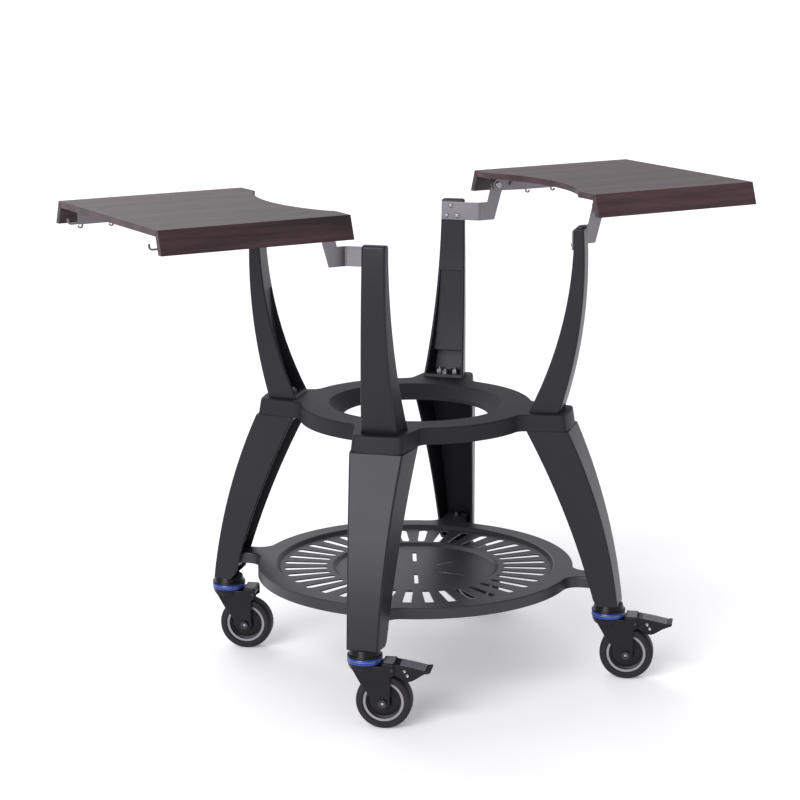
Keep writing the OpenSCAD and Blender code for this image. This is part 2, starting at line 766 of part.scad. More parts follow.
module hinge_pins(x_side) {
    y0 = hanger_y0 - 3;
    y1 = ear_y + plate_t / 2 + turn_gap;
    color("silver") for (y_side = [FRONT, REAR]) mirrored(x_side, y_side)
        translate([pin_x, 0, pin_z]) {
            translate([0, hanger_y0, 0]) rotate([90, 0, 0]) cylinder(r = pin_d / 2 + 2.5, h = 3);
            translate([0, y1 + 1, 0]) rotate([90, 0, 0]) cylinder(d = pin_d, h = y1 + 1 - y0);
            translate([0, y1 + 2, 0]) rotate([90, 0, 0]) cylinder(r = pin_d / 2 + 2, h = 2);
        }
}

support_ring();
bottom_shelf();
arm(FRONT_LEFT);  // arm_front_left
arm(FRONT_RIGHT);  // arm_front_right
arm(REAR_LEFT);  // arm_rear_left
arm(REAR_RIGHT);  // arm_rear_right
leg(FRONT_LEFT);  // leg_front_left
leg(FRONT_RIGHT);  // leg_front_right
leg(REAR_LEFT);  // leg_rear_left
leg(REAR_RIGHT);  // leg_rear_right
arm_covers();
arm_bolts();
shelf_bolts();
caster_collars();
kingpins();
bracket(LEFT, FRONT);  // bracket_front_left
bracket(RIGHT, FRONT);  // bracket_front_right
bracket(LEFT, REAR);  // bracket_rear_left
bracket(RIGHT, REAR);  // bracket_rear_right
bracket_screws();
fork(FRONT_LEFT);  // fork_front_left
fork(FRONT_RIGHT);  // fork_front_right
fork(REAR_LEFT);  // fork_rear_left
fork(REAR_RIGHT);  // fork_rear_right
seal(FRONT_LEFT);  // seal_front_left
seal(FRONT_RIGHT);  // seal_front_right
seal(REAR_LEFT);  // seal_rear_left
seal(REAR_RIGHT);  // seal_rear_right
axle(FRONT_LEFT);  // axle_front_left
axle(FRONT_RIGHT);  // axle_front_right
axle(REAR_LEFT);  // axle_rear_left
axle(REAR_RIGHT);  // axle_rear_right
hub(FRONT_LEFT);  // hub_front_left
hub(FRONT_RIGHT);  // hub_front_right
hub(REAR_LEFT);  // hub_rear_left
hub(REAR_RIGHT);  // hub_rear_right
tyre(FRONT_LEFT);  // tyre_front_left
tyre(FRONT_RIGHT);  // tyre_front_right
tyre(REAR_LEFT);  // tyre_rear_left
tyre(REAR_RIGHT);  // tyre_rear_right
pedal(FRONT_LEFT);  // pedal_front_left
pedal(FRONT_RIGHT);  // pedal_front_right
board(LEFT);  // board_left
board(RIGHT);  // board_right
apron(LEFT, FRONT);  // apron_front_left
apron(RIGHT, FRONT);  // apron_front_right
apron(LEFT, REAR);  // apron_rear_left
apron(RIGHT, REAR);  // apron_rear_right
hanger(LEFT, FRONT);  // hanger_front_left
hanger(RIGHT, FRONT);  // hanger_front_right
hanger(LEFT, REAR);  // hanger_rear_left
hanger(RIGHT, REAR);  // hanger_rear_right
board_screws(LEFT);  // board_screws_left
board_screws(RIGHT);  // board_screws_right
hinge_pins(LEFT);  // hinge_pins_left
hinge_pins(RIGHT);  // hinge_pins_right
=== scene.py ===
"""Looks of a rolling stand for a round kettle grill, built round its measured frame.

Every size below is in millimetres, measured in the stand's own frame: X from the left shelf to
the right one, Y from front to back, Z up from the floor. The modelling helpers turn millimetres
into metres as they draw.
"""

from __future__ import annotations

import sys

import json
import logging
import math
from collections.abc import Callable, Iterator, Sequence
from contextlib import contextmanager
from dataclasses import dataclass, field
from enum import Enum
from typing import Protocol

import bpy
from mathutils import Matrix, Vector

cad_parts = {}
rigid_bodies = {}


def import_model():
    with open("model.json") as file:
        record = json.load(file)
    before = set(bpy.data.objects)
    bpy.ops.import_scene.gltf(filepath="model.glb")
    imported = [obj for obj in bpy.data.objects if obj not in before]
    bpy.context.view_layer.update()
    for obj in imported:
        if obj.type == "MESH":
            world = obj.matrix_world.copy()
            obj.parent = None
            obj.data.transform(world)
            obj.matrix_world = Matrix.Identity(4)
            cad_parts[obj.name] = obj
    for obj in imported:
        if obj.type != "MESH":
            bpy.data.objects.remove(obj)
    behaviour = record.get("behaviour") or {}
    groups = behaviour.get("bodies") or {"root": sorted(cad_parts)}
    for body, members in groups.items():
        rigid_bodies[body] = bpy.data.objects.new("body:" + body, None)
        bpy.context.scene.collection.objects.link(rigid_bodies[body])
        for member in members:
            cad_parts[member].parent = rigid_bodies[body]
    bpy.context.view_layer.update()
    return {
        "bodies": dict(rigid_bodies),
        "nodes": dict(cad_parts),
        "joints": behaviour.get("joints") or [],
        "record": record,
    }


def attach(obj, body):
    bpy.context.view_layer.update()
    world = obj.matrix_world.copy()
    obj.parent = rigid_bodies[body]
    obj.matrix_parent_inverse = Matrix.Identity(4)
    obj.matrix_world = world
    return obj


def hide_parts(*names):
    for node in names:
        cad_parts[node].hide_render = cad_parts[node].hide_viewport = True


log = logging.getLogger("stand")

MM = 0.001
FULL_TURN = 2 * math.pi
DIAGONAL = math.sqrt(0.5)
RUNNING_FIT = 0.06

Point = tuple[float, float, float]
Flat = tuple[float, float]
Station = tuple[float, float, float, float]


# ---- Sizes that the sub-assemblies share ----


@dataclass(frozen=True)
class Levels:
    """Heights above the floor, from the axles up to the shelf tops."""

    axle: float = 48.5
    crown: float = 102.0
    seal: float = 114.8
    collar: float = 125.1
    foot: float = 138.6
    shelf: float = 189.6
    ring_low: float = 459.6
    ring: float = 489.6
    plate: float = 814.6
    arm_top: float = 819.6
    pin: float = 846.4
    board_low: float = 861.0
    board: float = 872.0


LEVELS = Levels()


@dataclass(frozen=True)
class Arc:
    """Circular arc through three points given as (radius from the centre line, height)."""

    low: Flat
    middle: Flat
    high: Flat

    def centre(self) -> Flat:
        """Work out the centre of the circle that the arc lies on.

        Returns:
            The centre as (radius, height).
        """
        (ax, ay), (bx, by), (cx, cy) = self.low, self.middle, self.high
        d = 2 * (ax * (by - cy) + bx * (cy - ay) + cx * (ay - by))
        a, b, c = ax * ax + ay * ay, bx * bx + by * by, cx * cx + cy * cy
        return (
            (a * (by - cy) + b * (cy - ay) + c * (ay - by)) / d,
            (a * (cx - bx) + b * (ax - cx) + c * (bx - ax)) / d,
        )

    def at(self, height: float) -> float:
        """Work out the arc's distance from the centre line at a height.

        Args:
            height: Height above the floor.

        Returns:
            The radius there.
        """
        ox, oy = self.centre()
        reach = math.hypot(self.low[0] - ox, self.low[1] - oy)
        side = 1 if self.middle[0] > ox else -1
        return ox + side * math.sqrt(reach * reach - (height - oy) ** 2)


class Corner(Enum):
    """The four corners of the stand, each with its name and its direction in degrees."""

    FRONT_LEFT = ("front_left", 225.0)
    FRONT_RIGHT = ("front_right", 315.0)
    REAR_LEFT = ("rear_left", 135.0)
    REAR_RIGHT = ("rear_right", 45.0)

    @property
    def label(self) -> str:
        """Name used in piece and body names."""
        return self.value[0]

    @property
    def angle(self) -> float:
        """Direction from the centre line, in radians."""
        return math.radians(self.value[1])

    @property
    def turn(self) -> Matrix:
        """Turn about the vertical that brings a piece drawn along +X to this corner."""
        return Matrix.Rotation(self.angle, 4, "Z")

    @property
    def signs(self) -> Flat:
        """Signs of X and Y at this corner."""
        return (math.copysign(1, math.cos(self.angle)), math.copysign(1, math.sin(self.angle)))

    @property
    def is_front(self) -> bool:
        """Whether this corner is at the front."""
        return self.signs[1] < 0

    @property
    def side(self) -> str:
        """Name of the side shelf above this corner."""
        return "left" if self.signs[0] < 0 else "right"


# ---- Modelling by hand ----


def clear_selection() -> None:
    """Deselect every object."""
    if bpy.context.object and bpy.context.object.mode != "OBJECT":
        bpy.ops.object.mode_set(mode="OBJECT")
    bpy.ops.object.select_all(action="DESELECT")


def pick(piece: bpy.types.Object) -> None:
    """Make a piece the only selected object, and the active one.

    Args:
        piece: The piece to work on.
    """
    clear_selection()
    piece.select_set(True)
    bpy.context.view_layer.objects.active = piece


@contextmanager
def editing(piece: bpy.types.Object, kind: str = "VERT") -> Iterator[None]:
    """Hold a piece in edit mode.

    Args:
        piece: The piece to edit.
        kind: VERT, EDGE or FACE, the kind of element that is selected.

    Yields:
        Nothing; the piece is in edit mode meanwhile.
    """
    pick(piece)
    bpy.context.tool_settings.mesh_select_mode = (kind == "VERT", kind == "EDGE", kind == "FACE")
    bpy.ops.object.mode_set(mode="EDIT")
    yield
    bpy.ops.object.mode_set(mode="OBJECT")


def start_plane(name: str, size: float) -> bpy.types.Object:
    """Start a drawing from a small plane, left in edit mode with all its points selected.

    Args:
        name: Name of the new piece.
        size: Side of the plane, in millimetres.

    Returns:
        The new piece.
    """
    clear_selection()
    bpy.context.tool_settings.mesh_select_mode = (True, False, False)
    bpy.ops.mesh.primitive_plane_add(size=size * MM, enter_editmode=True, location=(0, 0, 0))
    bpy.ops.mesh.select_all(action="SELECT")
    drawing = bpy.context.object
    drawing.name = name
    return drawing


def six_sided(name: str, r: float, z0: float, z1: float) -> bpy.types.Object:
    """Add a six-sided bar that stands on the vertical axis.

    Args:
        name: Name of the new piece.
        r: Radius across the corners.
        z0: Height of its lower end.
        z1: Height of its upper end.

    Returns:
        The bar.
    """
    clear_selection()
    bpy.ops.mesh.primitive_cylinder_add(
        vertices=6, radius=r * MM, depth=(z1 - z0) * MM, location=(0, 0, (z0 + z1) / 2 * MM)
    )
    bar = bpy.context.object
    bar.name = name
    bpy.ops.object.transform_apply(location=True)
    return bar


def trace(
    name: str, points: Sequence[Point], closed: bool = True, fill: bool = True
) -> bpy.types.Object:
    """Draw an outline by extruding a point from corner to corner.

    Args:
        name: Name of the new piece.
        points: Corners of the outline, in order.
        closed: Whether the outline returns to its first corner.
        fill: Whether the closed outline becomes a face.

    Returns:
        The new piece, in object mode.
    """
    drawing = start_plane(name, 10)
    bpy.ops.mesh.merge(type="CENTER")
    bpy.ops.transform.translate(value=Vector(points[0]) * MM)
    way = [*points, points[0]] if closed else list(points)
    for here, there in zip(way, way[1:]):
        step = (Vector(there) - Vector(here)) * MM
        bpy.ops.mesh.extrude_region_move(TRANSFORM_OT_translate={"value": step})
    bpy.ops.mesh.select_all(action="SELECT")
    bpy.ops.mesh.remove_doubles(threshold=1e-6)
    if closed and fill:
        bpy.ops.mesh.edge_face_add()
    bpy.ops.object.mode_set(mode="OBJECT")
    return drawing


def face_out(piece: bpy.types.Object) -> None:
    """Turn every face of a closed piece outwards.

    Args:
        piece: The piece, whose doubled points are merged first.
    """
    with editing(piece):
        bpy.ops.mesh.select_all(action="SELECT")
        bpy.ops.mesh.remove_doubles(threshold=1e-6)
        bpy.ops.mesh.normals_make_consistent(inside=False)


def prism(name: str, points: Sequence[Point], move: Point) -> bpy.types.Object:
    """Extrude a flat outline into a solid.

    Args:
        name: Name of the new piece.
        points: Corners of the outline.
        move: How far, and which way, the outline is extruded.

    Returns:
        The closed solid.
    """
    solid = trace(name, points)
    with editing(solid, "FACE"):
        bpy.ops.mesh.select_all(action="SELECT")
        bpy.ops.mesh.extrude_region_move(TRANSFORM_OT_translate={"value": Vector(move) * MM})
    face_out(solid)
    return solid


def upright(name: str, outline: Sequence[Flat], y0: float, y1: float) -> bpy.types.Object:
    """Extrude an outline drawn in the X-Z plane between two Y positions."""
    return prism(name, [(x, y0, z) for x, z in outline], (0, y1 - y0, 0))


def level(name: str, outline: Sequence[Flat], z0: float, z1: float) -> bpy.types.Object:
    """Extrude an outline drawn in the X-Y plane between two heights."""
    return prism(name, [(x, y, z0) for x, y in outline], (0, 0, z1 - z0))


def spun(name: str, profile: Sequence[Flat], steps: int, closed: bool = True) -> bpy.types.Object:
    """Spin a profile about the vertical axis.

    Args:
        name: Name of the new piece.
        profile: Corners as (radius, height).
        steps: Number of steps round the full turn.
        closed: Whether the profile is a closed ring; an open one starts and ends on the axis.

    Returns:
        The closed solid of revolution.
    """
    solid = trace(name, [(r, 0, z) for r, z in profile], closed=closed, fill=False)
    with editing(solid):
        bpy.ops.mesh.select_all(action="SELECT")
        bpy.ops.mesh.spin(steps=steps, angle=FULL_TURN, center=(0, 0, 0), axis=(0, 0, 1))
    face_out(solid)
    return solid


def rod(name: str, r: float, z0: float, z1: float, steps: int) -> bpy.types.Object:
    """Make a plain round bar on the vertical axis, to cut a bore or a seat with.

    Args:
        name: Name of the new piece.
        r: Radius of the bar.
        z0: Lower end.
        z1: Upper end.
        steps: Number of sides.

    Returns:
        The bar.
    """
    return spun(name, [(0, z0), (r, z0), (r, z1), (0, z1)], steps, closed=False)


def loft(name: str, stations: Sequence[Station]) -> bpy.types.Object:
    """Raise a post from a plane by extruding and resizing it from station to station.

    Args:
        name: Name of the new piece.
        stations: For each height, (height, inner X, outer X, half width).

    Returns:
        The closed post.
    """
    z, x0, x1, half = stations[0]
    solid = start_plane(name, 1)
    bpy.ops.transform.resize(value=(x1 - x0, 2 * half, 1), center_override=(0, 0, 0))
    bpy.ops.transform.translate(value=((x0 + x1) / 2 * MM, 0, z * MM))
    for (z, x0, x1, half), (z2, a0, a1, half2) in zip(stations, stations[1:]):
        rise = ((a0 + a1) / 2 - (x0 + x1) / 2, 0, z2 - z)
        bpy.ops.mesh.extrude_region_move(TRANSFORM_OT_translate={"value": Vector(rise) * MM})
        bpy.ops.transform.resize(
            value=((a1 - a0) / (x1 - x0), half2 / half, 1),
            center_override=((a0 + a1) / 2 * MM, 0, z2 * MM),
        )
    bpy.ops.object.mode_set(mode="OBJECT")
    face_out(solid)
    return solid


def unmark(mesh: bpy.types.Mesh) -> None:
    """Deselect every point, edge and face of a mesh."""
    for group in (mesh.vertices, mesh.edges, mesh.polygons):
        group.foreach_set("select", [False] * len(group))


def mark(piece: bpy.types.Object, wanted: Callable[[Vector], bool]) -> None:
    """Select only the points of a piece that a rule picks out.

    Args:
        piece: The piece whose points are selected.
        wanted: Rule that picks points by their place in millimetres.
    """
    unmark(piece.data)
    for vertex in piece.data.vertices:
        vertex.select = wanted(vertex.co / MM)


def widen(piece: bpy.types.Object, wanted: Callable[[Vector], bool], factor: float) -> None:
    """Scale the chosen points of a piece sideways, away from its middle plane.

    Args:
        piece: The piece to reshape.
        wanted: Rule that picks points by their place in millimetres.
        factor: How much wider the chosen points get along Y.
    """
    mark(piece, wanted)
    with editing(piece):
        bpy.ops.transform.resize(value=(1, factor, 1), center_override=(0, 0, 0))


def nudge(piece: bpy.types.Object, wanted: Callable[[Vector], bool], move: Point) -> None:
    """Move the chosen points of a piece.

    Args:
        piece: The piece to reshape.
        wanted: Rule that picks points by their place in millimetres.
        move: How far they move, in millimetres.
    """
    mark(piece, wanted)
    with editing(piece):
        bpy.ops.transform.translate(value=Vector(move) * MM)


def use_modifier(piece: bpy.types.Object, kind: str, **settings: object) -> None:
    """Add a modifier to a piece and apply it.

    Args:
        piece: The piece to change.
        kind: Type of the modifier.
        **settings: Its settings, by name.
    """
    pick(piece)
    modifier = piece.modifiers.new(kind.lower(), kind)
    for key, value in settings.items():
        setattr(modifier, key, value)
    bpy.ops.object.modifier_apply(modifier=modifier.name)


def combine(piece: bpy.types.Object, tool: bpy.types.Object, how: str) -> None:
    """Join, cut or intersect a piece with a tool piece, which is used up.

    Args:
        piece: The piece that is changed.
        tool: The piece that changes it.
        how: UNION, DIFFERENCE or INTERSECT.
    """
    use_modifier(piece, "BOOLEAN", object=tool, operation=how, solver="EXACT")
    bpy.data.objects.remove(tool)


def cut(piece: bpy.types.Object, *tools: bpy.types.Object) -> None:
    """Cut each tool piece out of a piece."""
    for tool in tools:
        combine(piece, tool, "DIFFERENCE")


def add(piece: bpy.types.Object, *tools: bpy.types.Object) -> None:
    """Weld each tool piece to a piece."""
    for tool in tools:
        combine(piece, tool, "UNION")


@dataclass(frozen=True)
class Edge:
    """What is known of an edge when it is chosen for a bevel: all in millimetres."""

    middle: Vector
    along: Vector
    angle: float

    @property
    def radius(self) -> float:
        """Distance of the edge's middle from the vertical axis."""
        return math.hypot(self.middle.x, self.middle.y)

    def is_upright(self) -> bool:
        """Whether the edge runs mostly up and down."""
        return abs(self.along.z) > 0.7


def round_edges(
    piece: bpy.types.Object, width: float, wanted: Callable[[Edge], bool], segments: int = 3,
    sharp: float = 30
) -> None:
    """Bevel the sharp edges of a piece that a rule picks out.

    Args:
        piece: The piece to bevel.
        width: Width of the bevel.
        wanted: Rule that says whether an edge is bevelled.
        segments: Number of faces across the bevel.
        sharp: Smallest angle, in degrees, between the faces of a bevelled edge.
    """
    mesh = piece.data
    normals: dict[tuple[int, int], list[Vector]] = {}
    for face in mesh.polygons:
        for key in face.edge_keys:
            normals.setdefault(key, []).append(face.normal)
    unmark(mesh)
    for edge in mesh.edges:
        faces = normals.get(tuple(sorted(edge.vertices)), [])
        if len(faces) != 2:
            continue
        angle = math.degrees(faces[0].angle(faces[1], 0))
        a, b = (mesh.vertices[i].co for i in edge.vertices)
        if angle > sharp and wanted(Edge((a + b) / 2 / MM, (b - a).normalized(), angle)):
            edge.select = True
            for i in edge.vertices:
                mesh.vertices[i].select = True
    with editing(piece, "EDGE"):
        bpy.ops.mesh.bevel(offset=width * MM, segments=segments, affect="EDGES", clamp_overlap=True)


def soften(piece: bpy.types.Object, width: float, segments: int = 2, angle: float = 35) -> None:
    """Bevel every edge of a piece that is sharper than an angle.

    Args:
        piece: The piece to bevel.
        width: Width of the bevel.
        segments: Number of faces across the bevel.
        angle: Smallest angle, in degrees, between the faces of a bevelled edge.
    """
    use_modifier(
        piece, "BEVEL", width=width * MM, segments=segments, limit_method="ANGLE",
        angle_limit=math.radians(angle), use_clamp_overlap=True,
    )


def put(piece: bpy.types.Object, place: Matrix) -> bpy.types.Object:
    """Move a piece's mesh to its place, leaving its object at the origin.

    Args:
        piece: The piece to move.
        place: Where it goes; a mirrored place gets its faces turned out again.

    Returns:
        The same piece.
    """
    piece.matrix_world = place
    pick(piece)
    bpy.ops.object.transform_apply(location=True, rotation=True, scale=True)
    if place.determinant() < 0:
        face_out(piece)
    return piece


def twin(piece: bpy.types.Object, name: str, place: Matrix) -> bpy.types.Object:
    """Copy a piece with its own mesh and put the copy in its place.

    Args:
        piece: The piece to copy.
        name: Name of the copy.
        place: Where the copy goes.

    Returns:
        The copy.
    """
    pick(piece)
    bpy.ops.object.duplicate(linked=False)
    copy = bpy.context.object
    copy.name = name
    return put(copy, place)


def gather(name: str, pieces: Sequence[bpy.types.Object]) -> bpy.types.Object:
    """Join pieces into one object.

    Args:
        name: Name of the joined piece.
        pieces: The pieces to join.

    Returns:
        The joined piece.
    """
    pick(pieces[0])
    for piece in pieces:
        piece.select_set(True)
    bpy.ops.object.join()
    bpy.context.object.name = name
    return bpy.context.object


def drop(*pieces: bpy.types.Object) -> None:
    """Remove pieces that were only patterns for copies."""
    for piece in pieces:
        bpy.data.objects.remove(piece)


def arc_run(cx: float, cy: float, r: float, start: float, end: float, steps: int) -> list[Flat]:
    """Return points along an arc, ends included.

    Args:
        cx: First coordinate of the centre.
        cy: Second coordinate of the centre.
        r: Radius.
        start: Angle of the first point, in degrees.
        end: Angle of the last point, in degrees.
        steps: Number of steps between them.
    """
    angles = [math.radians(start + (end - start) * i / steps) for i in range(steps + 1)]
    return [(cx + r * math.cos(t), cy + r * math.sin(t)) for t in angles]


def shift(x: float, y: float, z: float) -> Matrix:
    """Return a move by millimetres."""
    return Matrix.Translation(Vector((x, y, z)) * MM)


def turn(degrees: float, axis: str = "Z") -> Matrix:
    """Return a turn about an axis through the origin."""
    return Matrix.Rotation(math.radians(degrees), 4, axis)


def mirror_to(corner: Corner) -> Matrix:
    """Return the mirror that takes a piece drawn at the rear right to a corner."""
    sx, sy = corner.signs
    return Matrix.Diagonal((sx, sy, 1, 1))


# ---- Finishes ----


class Signal:
    """A number or colour on its way through a material, with arithmetic."""

    def __init__(self, bench: Bench, socket: bpy.types.NodeSocket) -> None:
        """Wrap a node's output socket."""
        self.bench = bench
        self.socket = socket

    def _maths(self, operation: str, first: object, second: object) -> Signal:
        """Return the result of a two-input maths node."""
        return self.bench.node("ShaderNodeMath", {"operation": operation}, {0: first, 1: second})

    def __add__(self, other: float | Signal) -> Signal:
        """Return the sum."""
        return self._maths("ADD", self, other)

    __radd__ = __add__

    def __sub__(self, other: float | Signal) -> Signal:
        """Return the difference."""
        return self._maths("SUBTRACT", self, other)

    def __rsub__(self, other: float | Signal) -> Signal:
        """Return the reflected difference, as in 1 - mask."""
        return self._maths("SUBTRACT", other, self)

    def __mul__(self, other: float | Signal) -> Signal:
        """Return the product."""
        return self._maths("MULTIPLY", self, other)

    __rmul__ = __mul__


class Bench:
    """A material being mixed: its node tree, its shader and the signals that feed it."""

    def __init__(self, name: str) -> None:
        """Start a material with an empty Principled shader.

        Args:
            name: Name of the material.
        """
        self.material = bpy.data.materials.new(name)
        self.material.use_nodes = True
        self.tree = self.material.node_tree
        self.shader = self.tree.nodes["Principled BSDF"]
        self.place = self.node("ShaderNodeTexCoord", output="Object")

    def node(
        self, kind: str, settings: dict[str, object] | None = None,
        values: dict[int | str, object] | None = None, output: int | str = 0,
    ) -> Signal:
        """Add a node and return one of its outputs.

        Args:
            kind: Type of the node.
            settings: Properties set on the node.
            values: Input values or signals, by socket name or number.
            output: The output that is returned.

        Returns:
            The output as a signal.
        """
        made = self.tree.nodes.new(kind)
        for key, value in (settings or {}).items():
            setattr(made, key, value)
        for key, value in (values or {}).items():
            self.feed(made.inputs[key], value)
        return Signal(self, made.outputs[output])

    def feed(self, socket: bpy.types.NodeSocket, value: object) -> None:
        """Link a signal to a socket, or set the socket's value.

        Args:
            socket: The input socket.
            value: A signal, or a plain value.
        """
        if isinstance(value, Signal):
            self.tree.links.new(value.socket, socket)
        else:
            socket.default_value = value

    def stretched(self, scale: Point) -> Signal:
        """Stretch the object coordinates.

        Args:
            scale: Factor along each axis.

        Returns:
            The stretched coordinates.
        """
        return self.node("ShaderNodeMapping", {}, {"Vector": self.place, "Scale": scale})

    def noise(self, scale: float, detail: float = 2.0, vector: Signal | None = None) -> Signal:
        """Add a noise texture.

        Args:
            scale: Number of features per metre.
            detail: Number of finer layers.
            vector: Coordinates, or None for the object's own.

        Returns:
            Noise from 0 to 1.
        """
        return self.node(
            "ShaderNodeTexNoise", {},
            {"Vector": vector or self.place, "Scale": scale, "Detail": detail}
        )

    def cells(self, scale: float) -> Signal:
        """Return the distance to the nearest of many scattered points, so many per metre."""
        return self.node("ShaderNodeTexVoronoi", {}, {"Vector": self.place, "Scale": scale})

    def between(self, low: float, high: float, signal: Signal) -> Signal:
        """Map a signal to a ramp from 0 to 1.

        Args:
            low: Value that becomes 0.
            high: Value that becomes 1.
            signal: The signal to map.

        Returns:
            The ramp.
        """
        return self.node(
            "ShaderNodeMapRange", {}, {"Value": signal, "From Min": low, "From Max": high}
        )

    def blend(self, mask: Signal, dark: Point, light: Point) -> Signal:
        """Blend two colours by a mask.

        Args:
            mask: 0 for the dark colour, 1 for the light one.
            dark: First colour.
            light: Second colour.

        Returns:
            The blended colour.
        """
        colours = {"Factor": mask, 6: (*dark, 1), 7: (*light, 1)}
        return self.node("ShaderNodeMix", {"data_type": "RGBA"}, colours, output=2)

    def bump(
        self, height: Signal, depth: float, strength: float, over: Signal | None = None
    ) -> Signal:
        """Bend the surface normals by a height.

        Args:
            height: The height that bends them.
            depth: Depth of the relief, in millimetres.
            strength: Strength of the effect, from 0 to 1.
            over: Other bent normals to start from, if any.

        Returns:
            The bent normals.
        """
        values: dict[int | str, object] = {
            "Height": height, "Distance": depth * MM, "Strength": strength
        }
        if over is not None:
            values["Normal"] = over
        return self.node("ShaderNodeBump", {}, values)

    def dress(self, **inputs: object) -> bpy.types.Material:
        """Feed the shader's inputs and return the material.

        Args:
            **inputs: Values or signals, by input name with underscores for spaces.

        Returns:
            The finished material.
        """
        for key, value in inputs.items():
            self.feed(self.shader.inputs[key.replace("_", " ")], value)
        return self.material


class Finish(Protocol):
    """Anything that can mix a material of its own."""

    def mix(self) -> bpy.types.Material:
        """Return the material."""


@dataclass(frozen=True)
class CastCoat:
    """Charcoal powder coat on the cast pieces: satin, faintly pebbled and mottled."""

    name: str = "charcoal powder coat"
    dark: Point = (0.0080, 0.0074, 0.0102)
    light: Point = (0.0145, 0.0134, 0.0182)
    gloss: float = 0.32
    shine: float = 0.28

    def mix(self) -> bpy.types.Material:
        """Mix the pebbled, mottled coat.

        Returns:
            Material named after the finish.
        """
        bench = Bench(self.name)
        pebble = bench.noise(1100, 2)
        cloud = bench.noise(9, 3)
        speck = bench.between(0.62, 0.72, bench.noise(420, 2))
        tone = cloud * 0.7 + pebble * 0.3
        return bench.dress(
            Base_Color=bench.blend(tone, self.dark, self.light),
            Roughness=self.gloss + 0.10 * cloud + 0.10 * speck,
            Specular_IOR_Level=self.shine,
            Normal=bench.bump(bench.noise(34, 2), 0.5, 0.18, over=bench.bump(pebble, 0.12, 0.5)),
        )


@dataclass(frozen=True)
class CasterBlack:
    """Black dip coat on the pressed caster steel, a little uneven."""

    name: str = "caster black"
    dark: Point = (0.0035, 0.0031, 0.0042)
    light: Point = (0.0090, 0.0082, 0.0105)
    gloss: float = 0.20

    def mix(self) -> bpy.types.Material:
        """Mix the uneven black dip.

        Returns:
            Material named after the finish.
        """
        bench = Bench(self.name)
        cloud = bench.noise(40, 4)
        grain = bench.noise(1500, 2)
        return bench.dress(
            Base_Color=bench.blend(cloud, self.dark, self.light),
            Roughness=self.gloss + 0.16 * cloud,
            Specular_IOR_Level=0.22,
            Normal=bench.bump(cloud, 0.25, 0.25, over=bench.bump(grain, 0.05, 0.4)),
        )


@dataclass(frozen=True)
class StainedWood:
    """Dark brown stained wood with fine grain along the shelf."""

    name: str = "stained wood"
    dark: Point = (0.0120, 0.0052, 0.0062)
    light: Point = (0.0720, 0.0340, 0.0390)
    rings_per_m: float = 26.0

    def mix(self) -> bpy.types.Material:
        """Mix the grain, fibres and pores of the wood.

        Returns:
            Material named after the finish.
        """
        bench = Bench(self.name)
        drift = bench.noise(1.0, 3, bench.stretched((1.6, 9.0, 9.0)))
        figure = bench.noise(1.0, 4, bench.stretched((5.0, 95.0, 95.0)))
        fibre = bench.noise(1.0, 3, bench.stretched((38.0, 900.0, 900.0)))
        pores = bench.between(
            0.60, 0.70, bench.noise(1.0, 2, bench.stretched((22.0, 620.0, 620.0)))
        )
        bands = bench.node(
            "ShaderNodeTexWave",
            {"wave_type": "BANDS", "bands_direction": "Y"},
            {"Vector": bench.stretched((0.10, 1.0, 1.0)), "Scale": self.rings_per_m / 6.0,
             "Distortion": 7.0, "Detail": 3.0, "Detail Scale": 1.4},
            output=1,
        )
        tone = drift * 0.30 + figure * 0.42 + fibre * 0.20 + bands * 0.16
        tone = bench.between(0.38, 0.72, tone) * (1 - 0.6 * pores)
        return bench.dress(
            Base_Color=bench.blend(tone, self.dark, self.light),
            Roughness=0.30 + 0.14 * figure + 0.12 * pores,
            Specular_IOR_Level=0.42,
            Normal=bench.bump(fibre * 0.6 - pores * 0.8 + figure * 0.4, 0.12, 0.30),
        )


@dataclass(frozen=True)
class BrushedSteel:
    """Brushed stainless steel: long fine scratches in the plate's plane."""

    name: str = "brushed steel"
    dark: Point = (0.13, 0.124, 0.134)
    light: Point = (0.29, 0.28, 0.30)
    gloss: float = 0.24
    scratch: Point = (60.0, 60.0, 1900.0)

    def mix(self) -> bpy.types.Material:
        """Mix the scratches and the cloudiness of the steel.

        Returns:
            Material named after the finish.
        """
        bench = Bench(self.name)
        scratches = bench.noise(1.0, 4, bench.stretched(self.scratch))
        cloud = bench.noise(22, 3)
        return bench.dress(
            Base_Color=bench.blend(scratches * 0.55 + cloud * 0.45, self.dark, self.light),
            Metallic=1.0,
            Roughness=self.gloss + 0.16 * scratches + 0.06 * cloud,
            Normal=bench.bump(scratches, 0.03, 0.35),
        )


@dataclass(frozen=True)
class ZincPlate:
    """Bright zinc plate on the bolts, nuts and screws."""

    name: str = "zinc plate"
    dark: Point = (0.24, 0.24, 0.26)
    light: Point = (0.50, 0.50, 0.53)

    def mix(self) -> bpy.types.Material:
        """Mix the dulled plating.

        Returns:
            Material named after the finish.
        """
        bench = Bench(self.name)
        cloud = bench.noise(160, 3)
        dull = bench.noise(900, 2)
        return bench.dress(
            Base_Color=bench.blend(cloud, self.dark, self.light),
            Metallic=1.0,
            Roughness=0.24 + 0.20 * dull,
            Normal=bench.bump(dull, 0.03, 0.4),
        )


